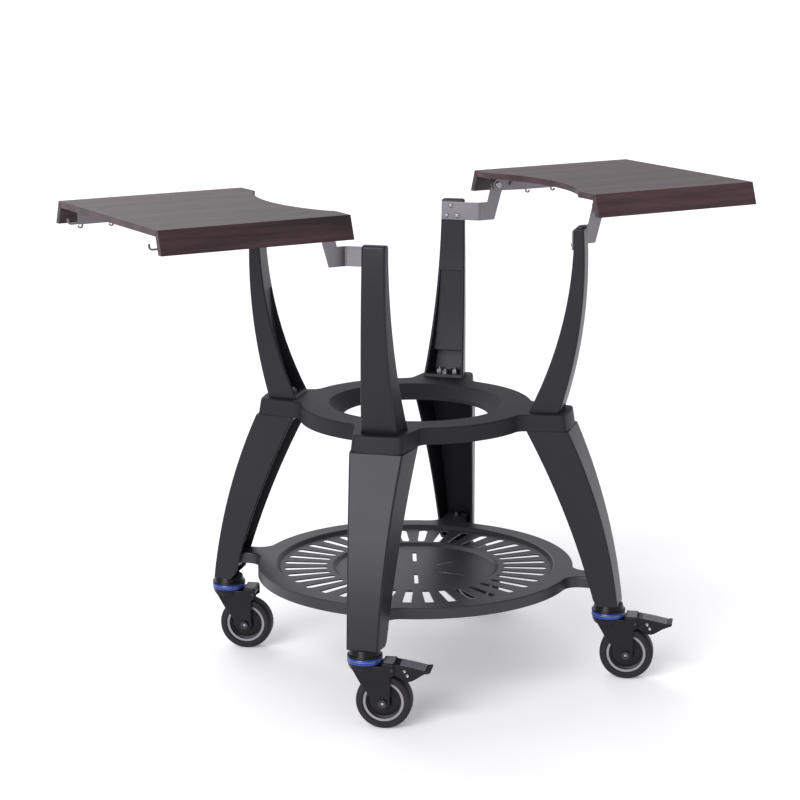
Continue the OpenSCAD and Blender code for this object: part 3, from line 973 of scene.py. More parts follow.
@dataclass(frozen=True)
class SealPlastic:
    """Glossy blue plastic of the dust seals, with faint moulding waves."""

    name: str = "blue seal plastic"
    dark: Point = (0.008, 0.034, 0.225)
    light: Point = (0.018, 0.060, 0.340)

    def mix(self) -> bpy.types.Material:
        """Mix the glossy blue plastic.

        Returns:
            Material named after the finish.
        """
        bench = Bench(self.name)
        flow = bench.noise(48, 3)
        dull = bench.noise(700, 2)
        return bench.dress(
            Base_Color=bench.blend(flow, self.dark, self.light),
            Roughness=0.12 + 0.10 * flow + 0.05 * dull,
            Normal=bench.bump(flow, 0.2, 0.2, over=bench.bump(dull, 0.03, 0.3)),
        )


@dataclass(frozen=True)
class TyreRubber:
    """Matt dark rubber with a fine moulded grain and a little floor dust."""

    name: str = "tyre rubber"
    dark: Point = (0.0075, 0.0066, 0.0080)
    light: Point = (0.0160, 0.0145, 0.0168)
    dust: Point = (0.036, 0.033, 0.036)

    def mix(self) -> bpy.types.Material:
        """Mix the rubber, its grain and its dusty scuffs.

        Returns:
            Material named after the finish.
        """
        bench = Bench(self.name)
        cloud = bench.noise(30, 4)
        grain = bench.noise(1300, 3)
        scuff = bench.between(0.60, 0.78, bench.noise(85, 4))
        body = bench.blend(cloud, self.dark, self.light)
        dusty = bench.node(
            "ShaderNodeMix", {"data_type": "RGBA"},
            {"Factor": scuff * 0.35, 6: body, 7: (*self.dust, 1)}, output=2,
        )
        return bench.dress(
            Base_Color=dusty,
            Roughness=0.46 + 0.14 * grain + 0.12 * scuff,
            Specular_IOR_Level=0.24,
            Normal=bench.bump(grain, 0.06, 0.5),
        )


@dataclass(frozen=True)
class MouldedPlastic:
    """Moulded plastic of the wheel parts, with a fine spark-eroded grain."""

    name: str = "hub plastic"
    dark: Point = (0.0050, 0.0046, 0.0056)
    light: Point = (0.0120, 0.0110, 0.0130)
    gloss: float = 0.30
    grain_depth: float = 0.06
    shine: float = 0.25

    def mix(self) -> bpy.types.Material:
        """Mix the grained plastic.

        Returns:
            Material named after the finish.
        """
        bench = Bench(self.name)
        cloud = bench.noise(55, 3)
        grain = bench.cells(1100)
        return bench.dress(
            Base_Color=bench.blend(cloud * 0.7 + grain * 0.3, self.dark, self.light),
            Roughness=self.gloss + 0.14 * cloud,
            Specular_IOR_Level=self.shine,
            Normal=bench.bump(grain, self.grain_depth, 0.5),
        )


@dataclass(frozen=True)
class StudioFloor:
    """Plain pale floor that glows a little, so that it meets the white room unseen."""

    name: str = "studio floor"
    pale: Point = (0.96, 0.96, 0.96)
    gloss: float = 0.7
    glow: float = 0.16

    def mix(self) -> bpy.types.Material:
        """Mix the pale floor.

        Returns:
            Material named after the finish.
        """
        return Bench(self.name).dress(
            Base_Color=(*self.pale, 1), Roughness=self.gloss,
            Emission_Color=(1, 1, 1, 1), Emission_Strength=self.glow,
        )


class Paint(Enum):
    """The finishes in use, each with the record's slot that it stands for."""

    CAST = ("frame_black", CastCoat())
    CASTER = ("caster_black", CasterBlack())
    WOOD = ("wood_dark", StainedWood())
    STEEL = ("steel_brushed", BrushedSteel())
    HANGER = (
        "steel_brushed",
        BrushedSteel("brushed hanger steel", gloss=0.28, scratch=(24.0, 1500.0, 1500.0)),
    )
    ZINC = ("fastener_zinc", ZincPlate())
    BLUED = (
        "fastener_zinc",
        ZincPlate("blackened bolt steel", (0.035, 0.034, 0.038), (0.085, 0.083, 0.090)),
    )
    SEAL = ("seal_blue", SealPlastic())
    RUBBER = ("tyre_rubber", TyreRubber())
    HUB = ("hub_plastic", MouldedPlastic())
    RIM = (
        "hub_plastic",
        MouldedPlastic("pale rim plastic", (0.19, 0.185, 0.20), (0.30, 0.29, 0.31), 0.36),
    )
    # Pale grey that paints sheen: it stands in for the light reflected off the tops of the pedals
    # and hoods, the same at every corner.
    SHEEN_TREAD = (
        "caster_black",
        MouldedPlastic("grey pedal tread with painted sheen", (0.11, 0.107, 0.12), (0.21, 0.205, 0.225), 0.42, 0.3),
    )
    # Painted light: a lighter copy of the frame coat, so the panels inside the arms read brighter.
    LIT_COVER = (
        "frame_black",
        CastCoat("lit cover coat", (0.013, 0.0122, 0.0155), (0.022, 0.0205, 0.0260), 0.42),
    )
    # Painted shade: a darker copy of the frame coat, so the ring's top reads darker than the rest
    # of the same casting.
    RING = (
        "frame_black",
        CastCoat("shaded ring coat", (0.0085, 0.0080, 0.0100), (0.0150, 0.0140, 0.0175), 0.50, 0.24),
    )
    # Painted light: a lighter copy of the frame coat, so the lower shelf reads brighter than the
    # ring of the same casting.
    LIT_SHELF = (
        "frame_black",
        CastCoat(
            "lit lower shelf coat", (0.017, 0.0160, 0.0200), (0.029, 0.0275, 0.0340), 0.32, 0.42
        ),
    )

    @property
    def slot(self) -> str:
        """Name of the record's material slot."""
        return self.value[0]

    @property
    def finish(self) -> Finish:
        """The finish that is mixed."""
        return self.value[1]


class PaintShop:
    """Mixes each finish once and puts it on pieces."""

    def __init__(self) -> None:
        """Start with no finish mixed."""
        self.mixed: dict[Paint, bpy.types.Material] = {}
        self.count = 0

    def mix(self, paint: Paint) -> bpy.types.Material:
        """Mix a finish's material, the first time that it is asked for.

        Args:
            paint: The finish.

        Returns:
            Its material, the same one each time.
        """
        if paint not in self.mixed:
            self.mixed[paint] = paint.finish.mix()
        return self.mixed[paint]

    def coat(self, piece: bpy.types.Object, paint: Paint) -> None:
        """Give a piece one finish all over."""
        piece.data.materials.clear()
        piece.data.materials.append(self.mix(paint))

    def deliver(
        self, piece: bpy.types.Object, name: str, body: str, paint: Paint,
        stands_for: str | None = None, smooth: float = 34,
    ) -> bpy.types.Object:
        """Finish a new piece: shading, coat, body and the node it stands for.

        Args:
            piece: The finished shape, at its place.
            name: Name of the piece.
            body: Body that it moves with.
            paint: Its finish.
            stands_for: Frame node that it replaces, if any.
            smooth: Largest angle, in degrees, that is shaded smooth.

        Returns:
            The piece.
        """
        pick(piece)
        bpy.ops.object.shade_smooth_by_angle(angle=math.radians(smooth))
        use_modifier(piece, "WEIGHTED_NORMAL", keep_sharp=True, weight=50)
        piece.name = name
        piece.data.name = name
        self.coat(piece, paint)
        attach(piece, body)
        if stands_for:
            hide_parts(stands_for)
        self.count += 1
        log.info("%s: %d faces on %s", name, len(piece.data.polygons), body)
        return piece


# ---- Cast legs and arms ----


@dataclass
class CurvedPost:
    """A curved hollow casting: outer, inner and half-width arcs, with sides that open inwards."""

    outer: Arc
    inner: Arc
    half: Arc
    wall: float = 5.0
    flange: float = 6.0
    draft: float = 8.0
    mouth: float = 9.0

    def side(self, z: float, depth: float, inset: float = 0) -> float:
        """Work out the half width of the post, or of its hollow.

        Args:
            z: Height above the floor.
            depth: Distance behind the outer face.
            inset: Thickness of the wall outside it.

        Returns:
            The half width there.
        """
        lean = math.radians(self.draft)
        return self.half.at(z) + depth * math.tan(lean) - inset / math.cos(lean)

    def station(self, z: float, inset: float = 0, open_by: float = 0) -> Station:
        """Work out the section at a height.

        Args:
            z: Height above the floor.
            inset: How far the section is drawn in by a wall.
            open_by: How far it stands out of the open side.

        Returns:
            The station to loft through, before its sides open.
        """
        x0 = self.inner.at(z) - open_by
        return (z, x0, self.outer.at(z) - inset, self.side(z, inset, inset))

    def flare(self, piece: bpy.types.Object, stations: Sequence[Station]) -> None:
        """Open a lofted piece's sides towards the centre, one station at a time.

        Args:
            piece: The lofted piece.
            stations: The stations that it was lofted through.
        """
        for z, x0, x1, half in stations:
            factor = 1 + (x1 - x0) * math.tan(math.radians(self.draft)) / half
            widen(piece, lambda p, z=z, x=(x0 + x1) / 2: abs(p.z - z) < 0.01 and p.x < x, factor)

    def run(
        self, name: str, z0: float, z1: float, inset: float = 0, open_by: float = 0, steps: int = 14
    ) -> bpy.types.Object:
        """Raise the post, or its hollow, between two heights.

        Args:
            name: Name of the new piece.
            z0: Lower end.
            z1: Upper end.
            inset: How far the section is drawn in by a wall.
            open_by: How far it stands out of the open side.
            steps: Number of steps up the post.

        Returns:
            The closed solid, drawn along +X.
        """
        stations = [
            self.station(z0 + (z1 - z0) * i / steps, inset, open_by) for i in range(steps + 1)
        ]
        post = loft(name, stations)
        self.flare(post, stations)
        return post

    def hollow(self, name: str, z0: float, z1: float) -> bpy.types.Object:
        """Make the cutter of the post's inside, which stands out of its open side.

        Args:
            name: Name of the cutter.
            z0: Lower end.
            z1: Upper end.

        Returns:
            The cutter, drawn along +X.
        """
        return self.run(name, z0, z1, self.wall, self.mouth)


@dataclass
class Legs:
    """Four splayed cast legs, hollow towards the centre, with a shelf ledge and a foot plate."""

    post: CurvedPost = field(default_factory=lambda: CurvedPost(
        Arc((379.5, 138.6), (348.0, 299.1), (288.0, 459.6)),
        Arc((338.5, 138.6), (286.5, 299.1), (214.0, 459.6)),
        Arc((27.5, 138.6), (34.2, 299.1), (47.0, 459.6)),
    ))
    ledge_t: float = 6.0
    shelf_h: float = 20.0
    corner_r: float = 3.2
    foot_chamfer: float = 8.0
    foot_past: float = 9.0
    deep_x: float = 300.0
    deep_z: float = 300.0
    deep_slope: float = 0.4

    def is_deep(self, edge: Edge) -> bool:
        """Say whether an edge of the hollow lies at its bottom, behind the leg's outer face."""
        return edge.middle.x > self.deep_x - (edge.middle.z - self.deep_z) * self.deep_slope

    def model(self) -> bpy.types.Object:
        """Cast one leg, with its hollow, ledge and foot corner.

        Returns:
            The leg, drawn along +X.
        """
        z0, z1 = LEVELS.foot, LEVELS.ring_low
        leg = self.post.run("leg pattern", z0, z1)
        round_edges(leg, self.corner_r, lambda e: e.is_upright(), segments=4, sharp=60)
        round_edges(leg, 0.6, lambda e: not e.is_upright(), segments=2, sharp=60)
        hollow = self.post.hollow("leg hollow", z0 + self.post.flange, z1 - self.post.flange)
        round_edges(hollow, 2.5, self.is_deep, segments=3, sharp=60)
        cut(leg, hollow)
        ledge_z = LEVELS.shelf - self.shelf_h
        add(leg, self.post.run("leg ledge", ledge_z - self.ledge_t, ledge_z, 0.6, -0.6, steps=2))
        r, past, top = self.post.inner.at(z0), self.foot_past, z0 + self.foot_chamfer + 4
        foot = [(r - past, z0 - 1), (r + self.foot_chamfer, z0 - 1), (r + self.foot_chamfer, z0),
                (r - 4, top), (r - past, top)]
        cut(leg, upright("foot corner", foot, -90, 90))
        soften(leg, 0.7, segments=2, angle=50)
        return leg

    def build(self, shop: PaintShop) -> None:
        """Cast the leg and set one at each corner.

        Args:
            shop: Where the pieces get their finish.
        """
        leg = self.model()
        for corner in Corner:
            copy = twin(leg, "leg copy", corner.turn)
            shop.deliver(
                copy, f"cast_leg_{corner.label}", "frame", Paint.CAST, f"leg_{corner.label}"
            )
        drop(leg)


@dataclass
class Arms:
    """Four curved cast arms on the ring, each closed inside by a cover panel."""

    post: CurvedPost = field(default_factory=lambda: CurvedPost(
        Arc((268.5, 489.6), (302.5, 654.6), (304.5, 819.6)),
        Arc((214.0, 489.6), (271.2, 654.6), (287.0, 819.6)),
        Arc((31.4, 489.6), (22.9, 654.6), (20.2, 819.6)),
    ))
    head: float = 135.0
    corner_r: float = 3.6
    cap_r: float = 5.0
    cover_sink: float = 2.0
    cover_t: float = 3.0
    cover_rise: float = 46.0
    cover_gap: float = 0.3
    lip_gap: float = 0.4

    def model(self) -> bpy.types.Object:
        """Cast one arm, with its hollow and rounded head.

        Returns:
            The arm, drawn along +X.
        """
        z0, z1 = LEVELS.ring, LEVELS.arm_top
        arm = self.post.run("arm pattern", z0, z1)
        round_edges(
            arm, self.cap_r, lambda e: not e.is_upright() and e.middle.z > z1 - 1, segments=4,
            sharp=60
        )
        round_edges(arm, self.corner_r, lambda e: e.is_upright(), segments=4, sharp=60)
        round_edges(arm, 1.0, lambda e: e.middle.z < z0 + 1, segments=2, sharp=60)
        cut(arm, self.post.hollow("arm hollow", z0 + self.post.flange, z1 - self.head))
        soften(arm, 0.8, segments=2, angle=50)
        return arm

    def cover(self) -> bpy.types.Object:
        """Bend the panel inside one arm, turned in at its lower edge.

        Returns:
            The panel, drawn along +X.
        """
        post = self.post
        gap, shoulder = self.cover_gap, LEVELS.arm_top - self.head
        z0, z1 = LEVELS.ring + self.cover_rise, shoulder - gap
        depth = post.outer.at(shoulder) - post.inner.at(shoulder) - self.cover_sink
        behind = depth - self.cover_t
        steps = 12
        stations = []
        for i in range(steps + 1):
            z = z0 + (z1 - z0) * i / steps
            face = post.outer.at(z) - depth
            stations.append((z, face, face + self.cover_t, post.side(z, behind, post.wall + gap)))
        panel = loft("cover panel", stations)
        post.flare(panel, stations)
        lip = []
        for z in (z0, z0 + self.cover_t):
            front = post.outer.at(z) - depth + self.lip_gap
            back = post.outer.at(z) - post.wall - 2 * gap
            side = post.side(z, post.wall + 2 * gap, post.wall + self.lip_gap)
            lip.append((z, front, back, side))
        shelf = loft("cover lip", lip)
        post.flare(shelf, lip)
        add(panel, shelf)
        soften(panel, 0.6, segments=2, angle=50)
        return panel

    def build(self, shop: PaintShop) -> None:
        """Cast the arm, bend its cover and set them at each corner.

        Args:
            shop: Where the pieces get their finish.
        """
        arm, panel = self.model(), self.cover()
        covers = []
        for corner in Corner:
            copy = twin(arm, "arm copy", corner.turn)
            shop.deliver(
                copy, f"cast_arm_{corner.label}", "frame", Paint.CAST, f"arm_{corner.label}"
            )
            covers.append(twin(panel, "cover copy", corner.turn))
        # The cover panels take the lighter copy of the frame coat: painted light.
        shop.deliver(
            gather("covers", covers), "arm_cover_panels", "frame", Paint.LIT_COVER, "arm_covers"
        )
        drop(arm, panel)


# ---- Support ring and lower shelf ----


@dataclass
class TabbedDisc:
    """Outline of a disc with four round-cornered tabs on the diagonals."""

    radius: float
    reach: float
    half: float
    fillet: float
    corner: float
    draft: float = 0.0

    def quarter(self) -> list[Flat]:
        """Draw the outline round one tab, from the disc's edge on one side to the other.

        Returns:
            The outline, with the tab along +X.
        """
        slope = math.tan(math.radians(self.draft))
        room = self.half + self.reach * slope + self.fillet / math.cos(math.radians(self.draft))
        span = self.radius + self.fillet
        k = 1 + slope * slope
        x0 = (room * slope + math.sqrt((room * slope) ** 2 - k * (room * room - span * span))) / k
        y0 = room - x0 * slope
        lean = math.degrees(math.atan2(y0, x0))
        side: list[Flat] = arc_run(x0, y0, self.fillet, 180 + lean, 270 - self.draft, 7)
        c = self.corner
        yc = self.half - c
        xc = math.sqrt((self.reach - c) ** 2 - yc * yc)
        tilt = math.degrees(math.atan2(yc, xc))
        side += arc_run(xc, yc, c, 90, tilt, 6)
        sweep = [tilt * (1 - 2 * i / 10) for i in range(1, 10)]
        edge = [
            (self.reach * math.cos(math.radians(t)), self.reach * math.sin(math.radians(t)))
            for t in sweep
        ]
        other = [(x, -y) for x, y in reversed(side)]
        return [*side, *edge, *other]

    def outline(self, rim_steps: int) -> list[Flat]:
        """Draw the whole outline, clockwise seen from above.

        Args:
            rim_steps: Number of steps along the disc's edge between two tabs.

        Returns:
            The closed outline.
        """
        points: list[Flat] = []
        quarter = self.quarter()
        start = math.degrees(math.atan2(quarter[0][1], quarter[0][0]))
        for direction in (45.0, -45.0, -135.0, -225.0):
            turned = turn(direction)
            points += [tuple((turned @ Vector((x, y, 0))).xy) for x, y in quarter]
            first, last = direction - start, direction - 90 + start
            rim = arc_run(0, 0, self.radius, first, last, rim_steps)
            points += rim[1:-1]
        return points


@dataclass
class SupportRing:
    """Cast ring with a dished seat and four pads that take the legs and arms."""

    ring_r: float = 210.0
    lip_r: float = 157.0
    hole_r: float = 132.0
    height: float = 30.0
    dish: float = 20.0
    wall: float = 6.0
    pad_r: float = 287.6
    pad_lean: float = 4.4
    pad_taper: float = 0.955
    draft: float = 8.0
    pad_half: float = 46.8
    pad_fillet: float = 20.0
    pad_corner: float = 9.0
    pad_end: float = 16.0
    edge_r: float = 3.6
    steps: int = 112

    def blank(self) -> bpy.types.Object:
        """Cast the ring before it is hollowed, with its pads leaning in towards the top.

        Returns:
            The solid ring.
        """
        low, high = LEVELS.ring_low, LEVELS.ring
        disc = TabbedDisc(
            self.ring_r, self.pad_r, self.pad_half, self.pad_fillet, self.pad_corner, self.draft
        )
        ring = level("ring", disc.outline(14), low, high)
        end = self.pad_r - self.pad_end
        for corner in Corner:
            put(ring, corner.turn.inverted())
            nudge(ring, lambda p: p.z > high - 0.1 and p.x > end, (-self.pad_lean, 0, 0))
            widen(ring, lambda p: p.z > high - 0.1 and p.x > end - self.pad_lean, self.pad_taper)
            put(ring, corner.turn)
        round_edges(ring, self.edge_r, lambda e: e.middle.z > high - 0.1, segments=4, sharp=60)
        round_edges(ring, 0.6, lambda e: e.middle.z < low + 0.1, segments=2, sharp=60)
        return ring

    def build(self, shop: PaintShop) -> None:
        """Hollow the ring and round its edges.

        Args:
            shop: Where the pieces get their finish.
        """
        low, high = LEVELS.ring_low, LEVELS.ring
        seat = high - self.dish
        ring = self.blank()
        bowl = [(0, low - 2), (self.hole_r, low - 2), (self.hole_r, seat), (self.lip_r, high),
                (self.lip_r, high + 2), (0, high + 2)]
        cut(ring, spun("ring bowl", bowl, self.steps, closed=False))
        roof, outside = high - self.wall, self.ring_r - self.wall
        under = [(self.hole_r - 8, low - 2), (outside, low - 2), (outside, roof),
                 (self.lip_r - 2, roof), (self.hole_r + self.wall, seat - self.wall),
                 (self.hole_r - 8, seat - self.wall)]
        cut(ring, spun("ring underside", under, self.steps))
        round_edges(
            ring, 0.9, lambda e: abs(e.radius - self.lip_r) < 0.7 and e.middle.z > high - 0.2, 2,
            sharp=25
        )
        round_edges(ring, 1.0, lambda e: abs(e.radius - self.hole_r) < 0.7, 2, sharp=25)
        # The ring takes the darker copy of the frame coat: painted shade.
        shop.deliver(ring, "cast_support_ring", "frame", Paint.RING, "support_ring")


@dataclass
class LowerShelf:
    """Slotted lower shelf with a raised rim, a shallow well and four tabs."""

    radius: float = 288.0
    height: float = 20.0
    rim_w: float = 35.0
    plate_t: float = 2.3
    wall: float = 6.0
    rim_drop: float = 7.0
    well_r: float = 152.0
    well_drop: float = 5.0
    slots: int = 36
    slot_r0: float = 160.0
    slot_r1: float = 241.0
    slot_w0: float = 13.0
    slot_w1: float = 16.0
    vents: int = 6
    vent_r0: float = 42.0
    vent_r1: float = 100.0
    vent_w: float = 7.0
    vent_corner: float = 1.5
    cutter_below: float = 60.0
    cutter_above: float = 10.0
    tab_fillet: float = 28.0
    tab_corner: float = 5.0
    tab_gap: float = 12.0
    steps: int = 128

    def tab_reach(self, legs: CurvedPost) -> float:
        """Return how far the tabs reach from the centre line into the legs."""
        return legs.outer.at(LEVELS.shelf) - legs.wall - self.tab_gap

    def cutter(self, name: str, outline: Sequence[Flat]) -> bpy.types.Object:
        """Draw a cutter that passes right through the shelf.

        Args:
            name: Name of the cutter.
            outline: Its outline, seen from above.

        Returns:
            The cutter.
        """
        return level(
            name, outline, LEVELS.shelf - self.cutter_below, LEVELS.shelf + self.cutter_above
        )

    def slot_cutter(self) -> bpy.types.Object:
        """Draw the cutter of one round-ended slot.

        Returns:
            The cutter, drawn along +X.
        """
        h0, h1 = self.slot_w0 / 2, self.slot_w1 / 2
        r0, r1 = self.slot_r0 + h0, self.slot_r1 - h1
        outline = [*arc_run(r1, 0, h1, -90, 90, 7), *arc_run(r0, 0, h0, 90, 270, 7)]
        return self.cutter("slot cutter", outline)

    def vent_cutter(self) -> bpy.types.Object:
        """Draw the cutter of one straight vent near the centre.

        Returns:
            The cutter, drawn along +X.
        """
        c = self.vent_corner
        x0, x1, y = self.vent_r0 + c, self.vent_r1 - c, self.vent_w / 2 - c
        outline = [*arc_run(x1, y, c, 0, 90, 3), *arc_run(x0, y, c, 90, 180, 3),
                   *arc_run(x0, -y, c, 180, 270, 3), *arc_run(x1, -y, c, 270, 360, 3)]
        return self.cutter("vent cutter", outline)

    def blank(self, legs: CurvedPost) -> bpy.types.Object:
        """Cast the shelf before its slots are cut.

        Args:
            legs: The leg casting that the tabs fit into.

        Returns:
            The shelf, without slots or vents.
        """
        high = LEVELS.shelf
        low = high - self.height
        plate = high - self.rim_drop
        well = plate - self.well_drop
        rim_in = self.radius - self.rim_w
        t = self.plate_t
        half = legs.half.at(low) - legs.wall - 1
        disc = TabbedDisc(
            self.radius, self.tab_reach(legs), half, self.tab_fillet, self.tab_corner
        )
        shelf = level("lower shelf", disc.outline(22), low, high)
        round_edges(shelf, 2.6, lambda e: e.middle.z > high - 0.1, segments=3, sharp=60)
        basin = [(0, well), (self.well_r - 8, well), (self.well_r, plate), (rim_in - 6, plate),
                 (rim_in, high), (rim_in, high + 3), (0, high + 3)]
        cut(shelf, spun("shelf basin", basin, self.steps, closed=False))
        outside = self.radius - self.wall
        under = [(0, low - 2), (outside, low - 2), (outside, high - t), (rim_in + 3, high - t),
                 (rim_in - 3, plate - t), (self.well_r + 3, plate - t),
                 (self.well_r - 5, well - t), (0, well - t)]
        cut(shelf, spun("shelf underside", under, self.steps, closed=False))
        return shelf

    def build(self, shop: PaintShop, legs: CurvedPost) -> None:
        """Cut the slots and vents and round their edges.

        Args:
            shop: Where the pieces get their finish.
            legs: The leg casting that the tabs fit into.
        """
        shelf = self.blank(legs)
        slot, vent = self.slot_cutter(), self.vent_cutter()
        step = 360 / self.slots
        cutters = [twin(slot, "slot", turn(step * (i + 0.5))) for i in range(self.slots)]
        cutters += [twin(vent, "vent", turn(360 / self.vents * i)) for i in range(self.vents)]
        cut(shelf, gather("shelf cutters", cutters))
        drop(slot, vent)
        plate = LEVELS.shelf - self.rim_drop
        rim_in = self.radius - self.rim_w

        def on_slot(edge: Edge) -> bool:
            """Say whether an edge is the upper rim of a slot or a vent."""
            on_top = edge.middle.z > plate - self.well_drop - 0.2
            return on_top and edge.angle > 70 and edge.radius < rim_in + 3

        round_edges(shelf, 1.3, on_slot, segments=3)
        round_edges(
            shelf, 1.6, lambda e: abs(e.radius - rim_in) < 1 and e.middle.z > LEVELS.shelf - 0.2, 3,
            sharp=25
        )
        # The lower shelf takes the lighter copy of the frame coat: painted light.
        shop.deliver(shelf, "cast_lower_shelf", "frame", Paint.LIT_SHELF, "bottom_shelf", smooth=32)


# ---- Fasteners ----


@dataclass
class Fasteners:
    """Bolts, nuts and screws, each modelled once and copied."""

    stud_r: float = 250.0
    stud_half: float = 15.0
    centre_r: float = 232.0
    m8: float = 4.0
    m8_corner: float = 7.5
    head_h: float = 5.5
    nut_h: float = 5.0
    stud_over: float = 8.0
    tab_bolt: float = 14.0

    @staticmethod
    def hex_head(name: str, r: float, z0: float, z1: float) -> bpy.types.Object:
        """Make a six-sided head with its corners turned off at the top.

        Args:
            name: Name of the piece.
            r: Radius across the corners.
            z0: Height of its seat.
            z1: Height of its free end, above or below the seat.

        Returns:
            The head, on the vertical axis.
        """
        head = six_sided(name, r, min(z0, z1), max(z0, z1))
        base = z0 - math.copysign(1, z1 - z0)
        profile = [
            (0, base), (r + 2, base), (r + 2, z0), (r * 1.01, z0 + (z1 - z0) * 0.72),
            (r * 0.86, z1), (0, z1)
        ]
        if z1 < z0:
            profile.reverse()
        combine(head, spun("head lathe", profile, 36, closed=False), "INTERSECT")
        return head

    @staticmethod
    def cross_recess(head: bpy.types.Object, half: float, z0: float, z1: float) -> None:
        """Cut a cross recess into a screw head.

        Args:
            head: The head, drawn about the vertical axis.
            half: Half length of the cross.
            z0: Height of the cutter's lower end.
            z1: Height of the cutter's upper end.
        """
        bar = [(-half, -0.5), (half, -0.5), (half, 0.5), (-half, 0.5)]
        for angle in (0, 90):
            cut(head, put(level("recess", bar, z0, z1), turn(angle)))

    @staticmethod
    def stud(name: str, r: float, z0: float, z1: float) -> bpy.types.Object:
        """Make a chamfered shaft with turned rings for its thread.

        Args:
            name: Name of the piece.
            r: Radius of the shaft.
            z0: Lower end.
            z1: Upper end.

        Returns:
            The shaft, on the vertical axis.
        """
        pitch, chamfer, depth = 1.25, 0.8, 0.45
        profile: list[Flat] = [(0, z0), (r - chamfer, z0)]
        z = z0 + chamfer
        while z < z1 - chamfer:
            profile += [(r, z), (r - depth, z + pitch / 2)]
            z += pitch
        profile += [(r - chamfer, z1), (0, z1)]
        return spun(name, profile, 16, closed=False)

    def build(self, shop: PaintShop, legs: Legs, arms: Arms, shelf: LowerShelf) -> None:
        """Make the bolts through legs, ring, arms and lower shelf.

        Args:
            shop: Where the pieces get their finish.
            legs: The legs that the bolts pass through.
            arms: The arms that the upper nuts seat on.
            shelf: The lower shelf, bolted through its tabs.
        """
        low, top = LEVELS.ring_low - legs.post.flange, LEVELS.ring + arms.post.flange
        bolt = gather("frame bolt", [
            self.hex_head("bolt head", self.m8_corner, low, low - self.head_h),
            self.stud("bolt stud", self.m8, top, top + self.stud_over),
            self.hex_head("bolt nut", self.m8_corner, top, top + self.nut_h),
        ])
        places = [(self.stud_r, self.stud_half), (self.stud_r, -self.stud_half), (self.centre_r, 0)]
        bolts = [
            twin(bolt, "bolt", corner.turn @ shift(x, y, 0)) for corner in Corner for x, y in places
        ]
        shop.deliver(gather("bolts", bolts), "frame_bolts", "frame", Paint.ZINC, "arm_bolts")

        high = LEVELS.shelf
        under = high - legs.shelf_h - legs.ledge_t
        r = shelf.tab_reach(legs.post) - self.tab_bolt
        screw = gather("shelf bolt", [
            self.hex_head("shelf bolt head", self.m8_corner, high, high + self.head_h),
            self.stud("shelf bolt stud", self.m8, under - self.stud_over, under),
            self.hex_head("shelf bolt nut", self.m8_corner, under, under - self.nut_h),
        ])
        screws = [twin(screw, "shelf bolt", corner.turn @ shift(r, 0, 0)) for corner in Corner]
        shop.deliver(
            gather("shelf bolts", screws), "lower_shelf_bolts", "frame", Paint.BLUED, "shelf_bolts"
        )
        drop(bolt, screw)


# ---- Casters ----


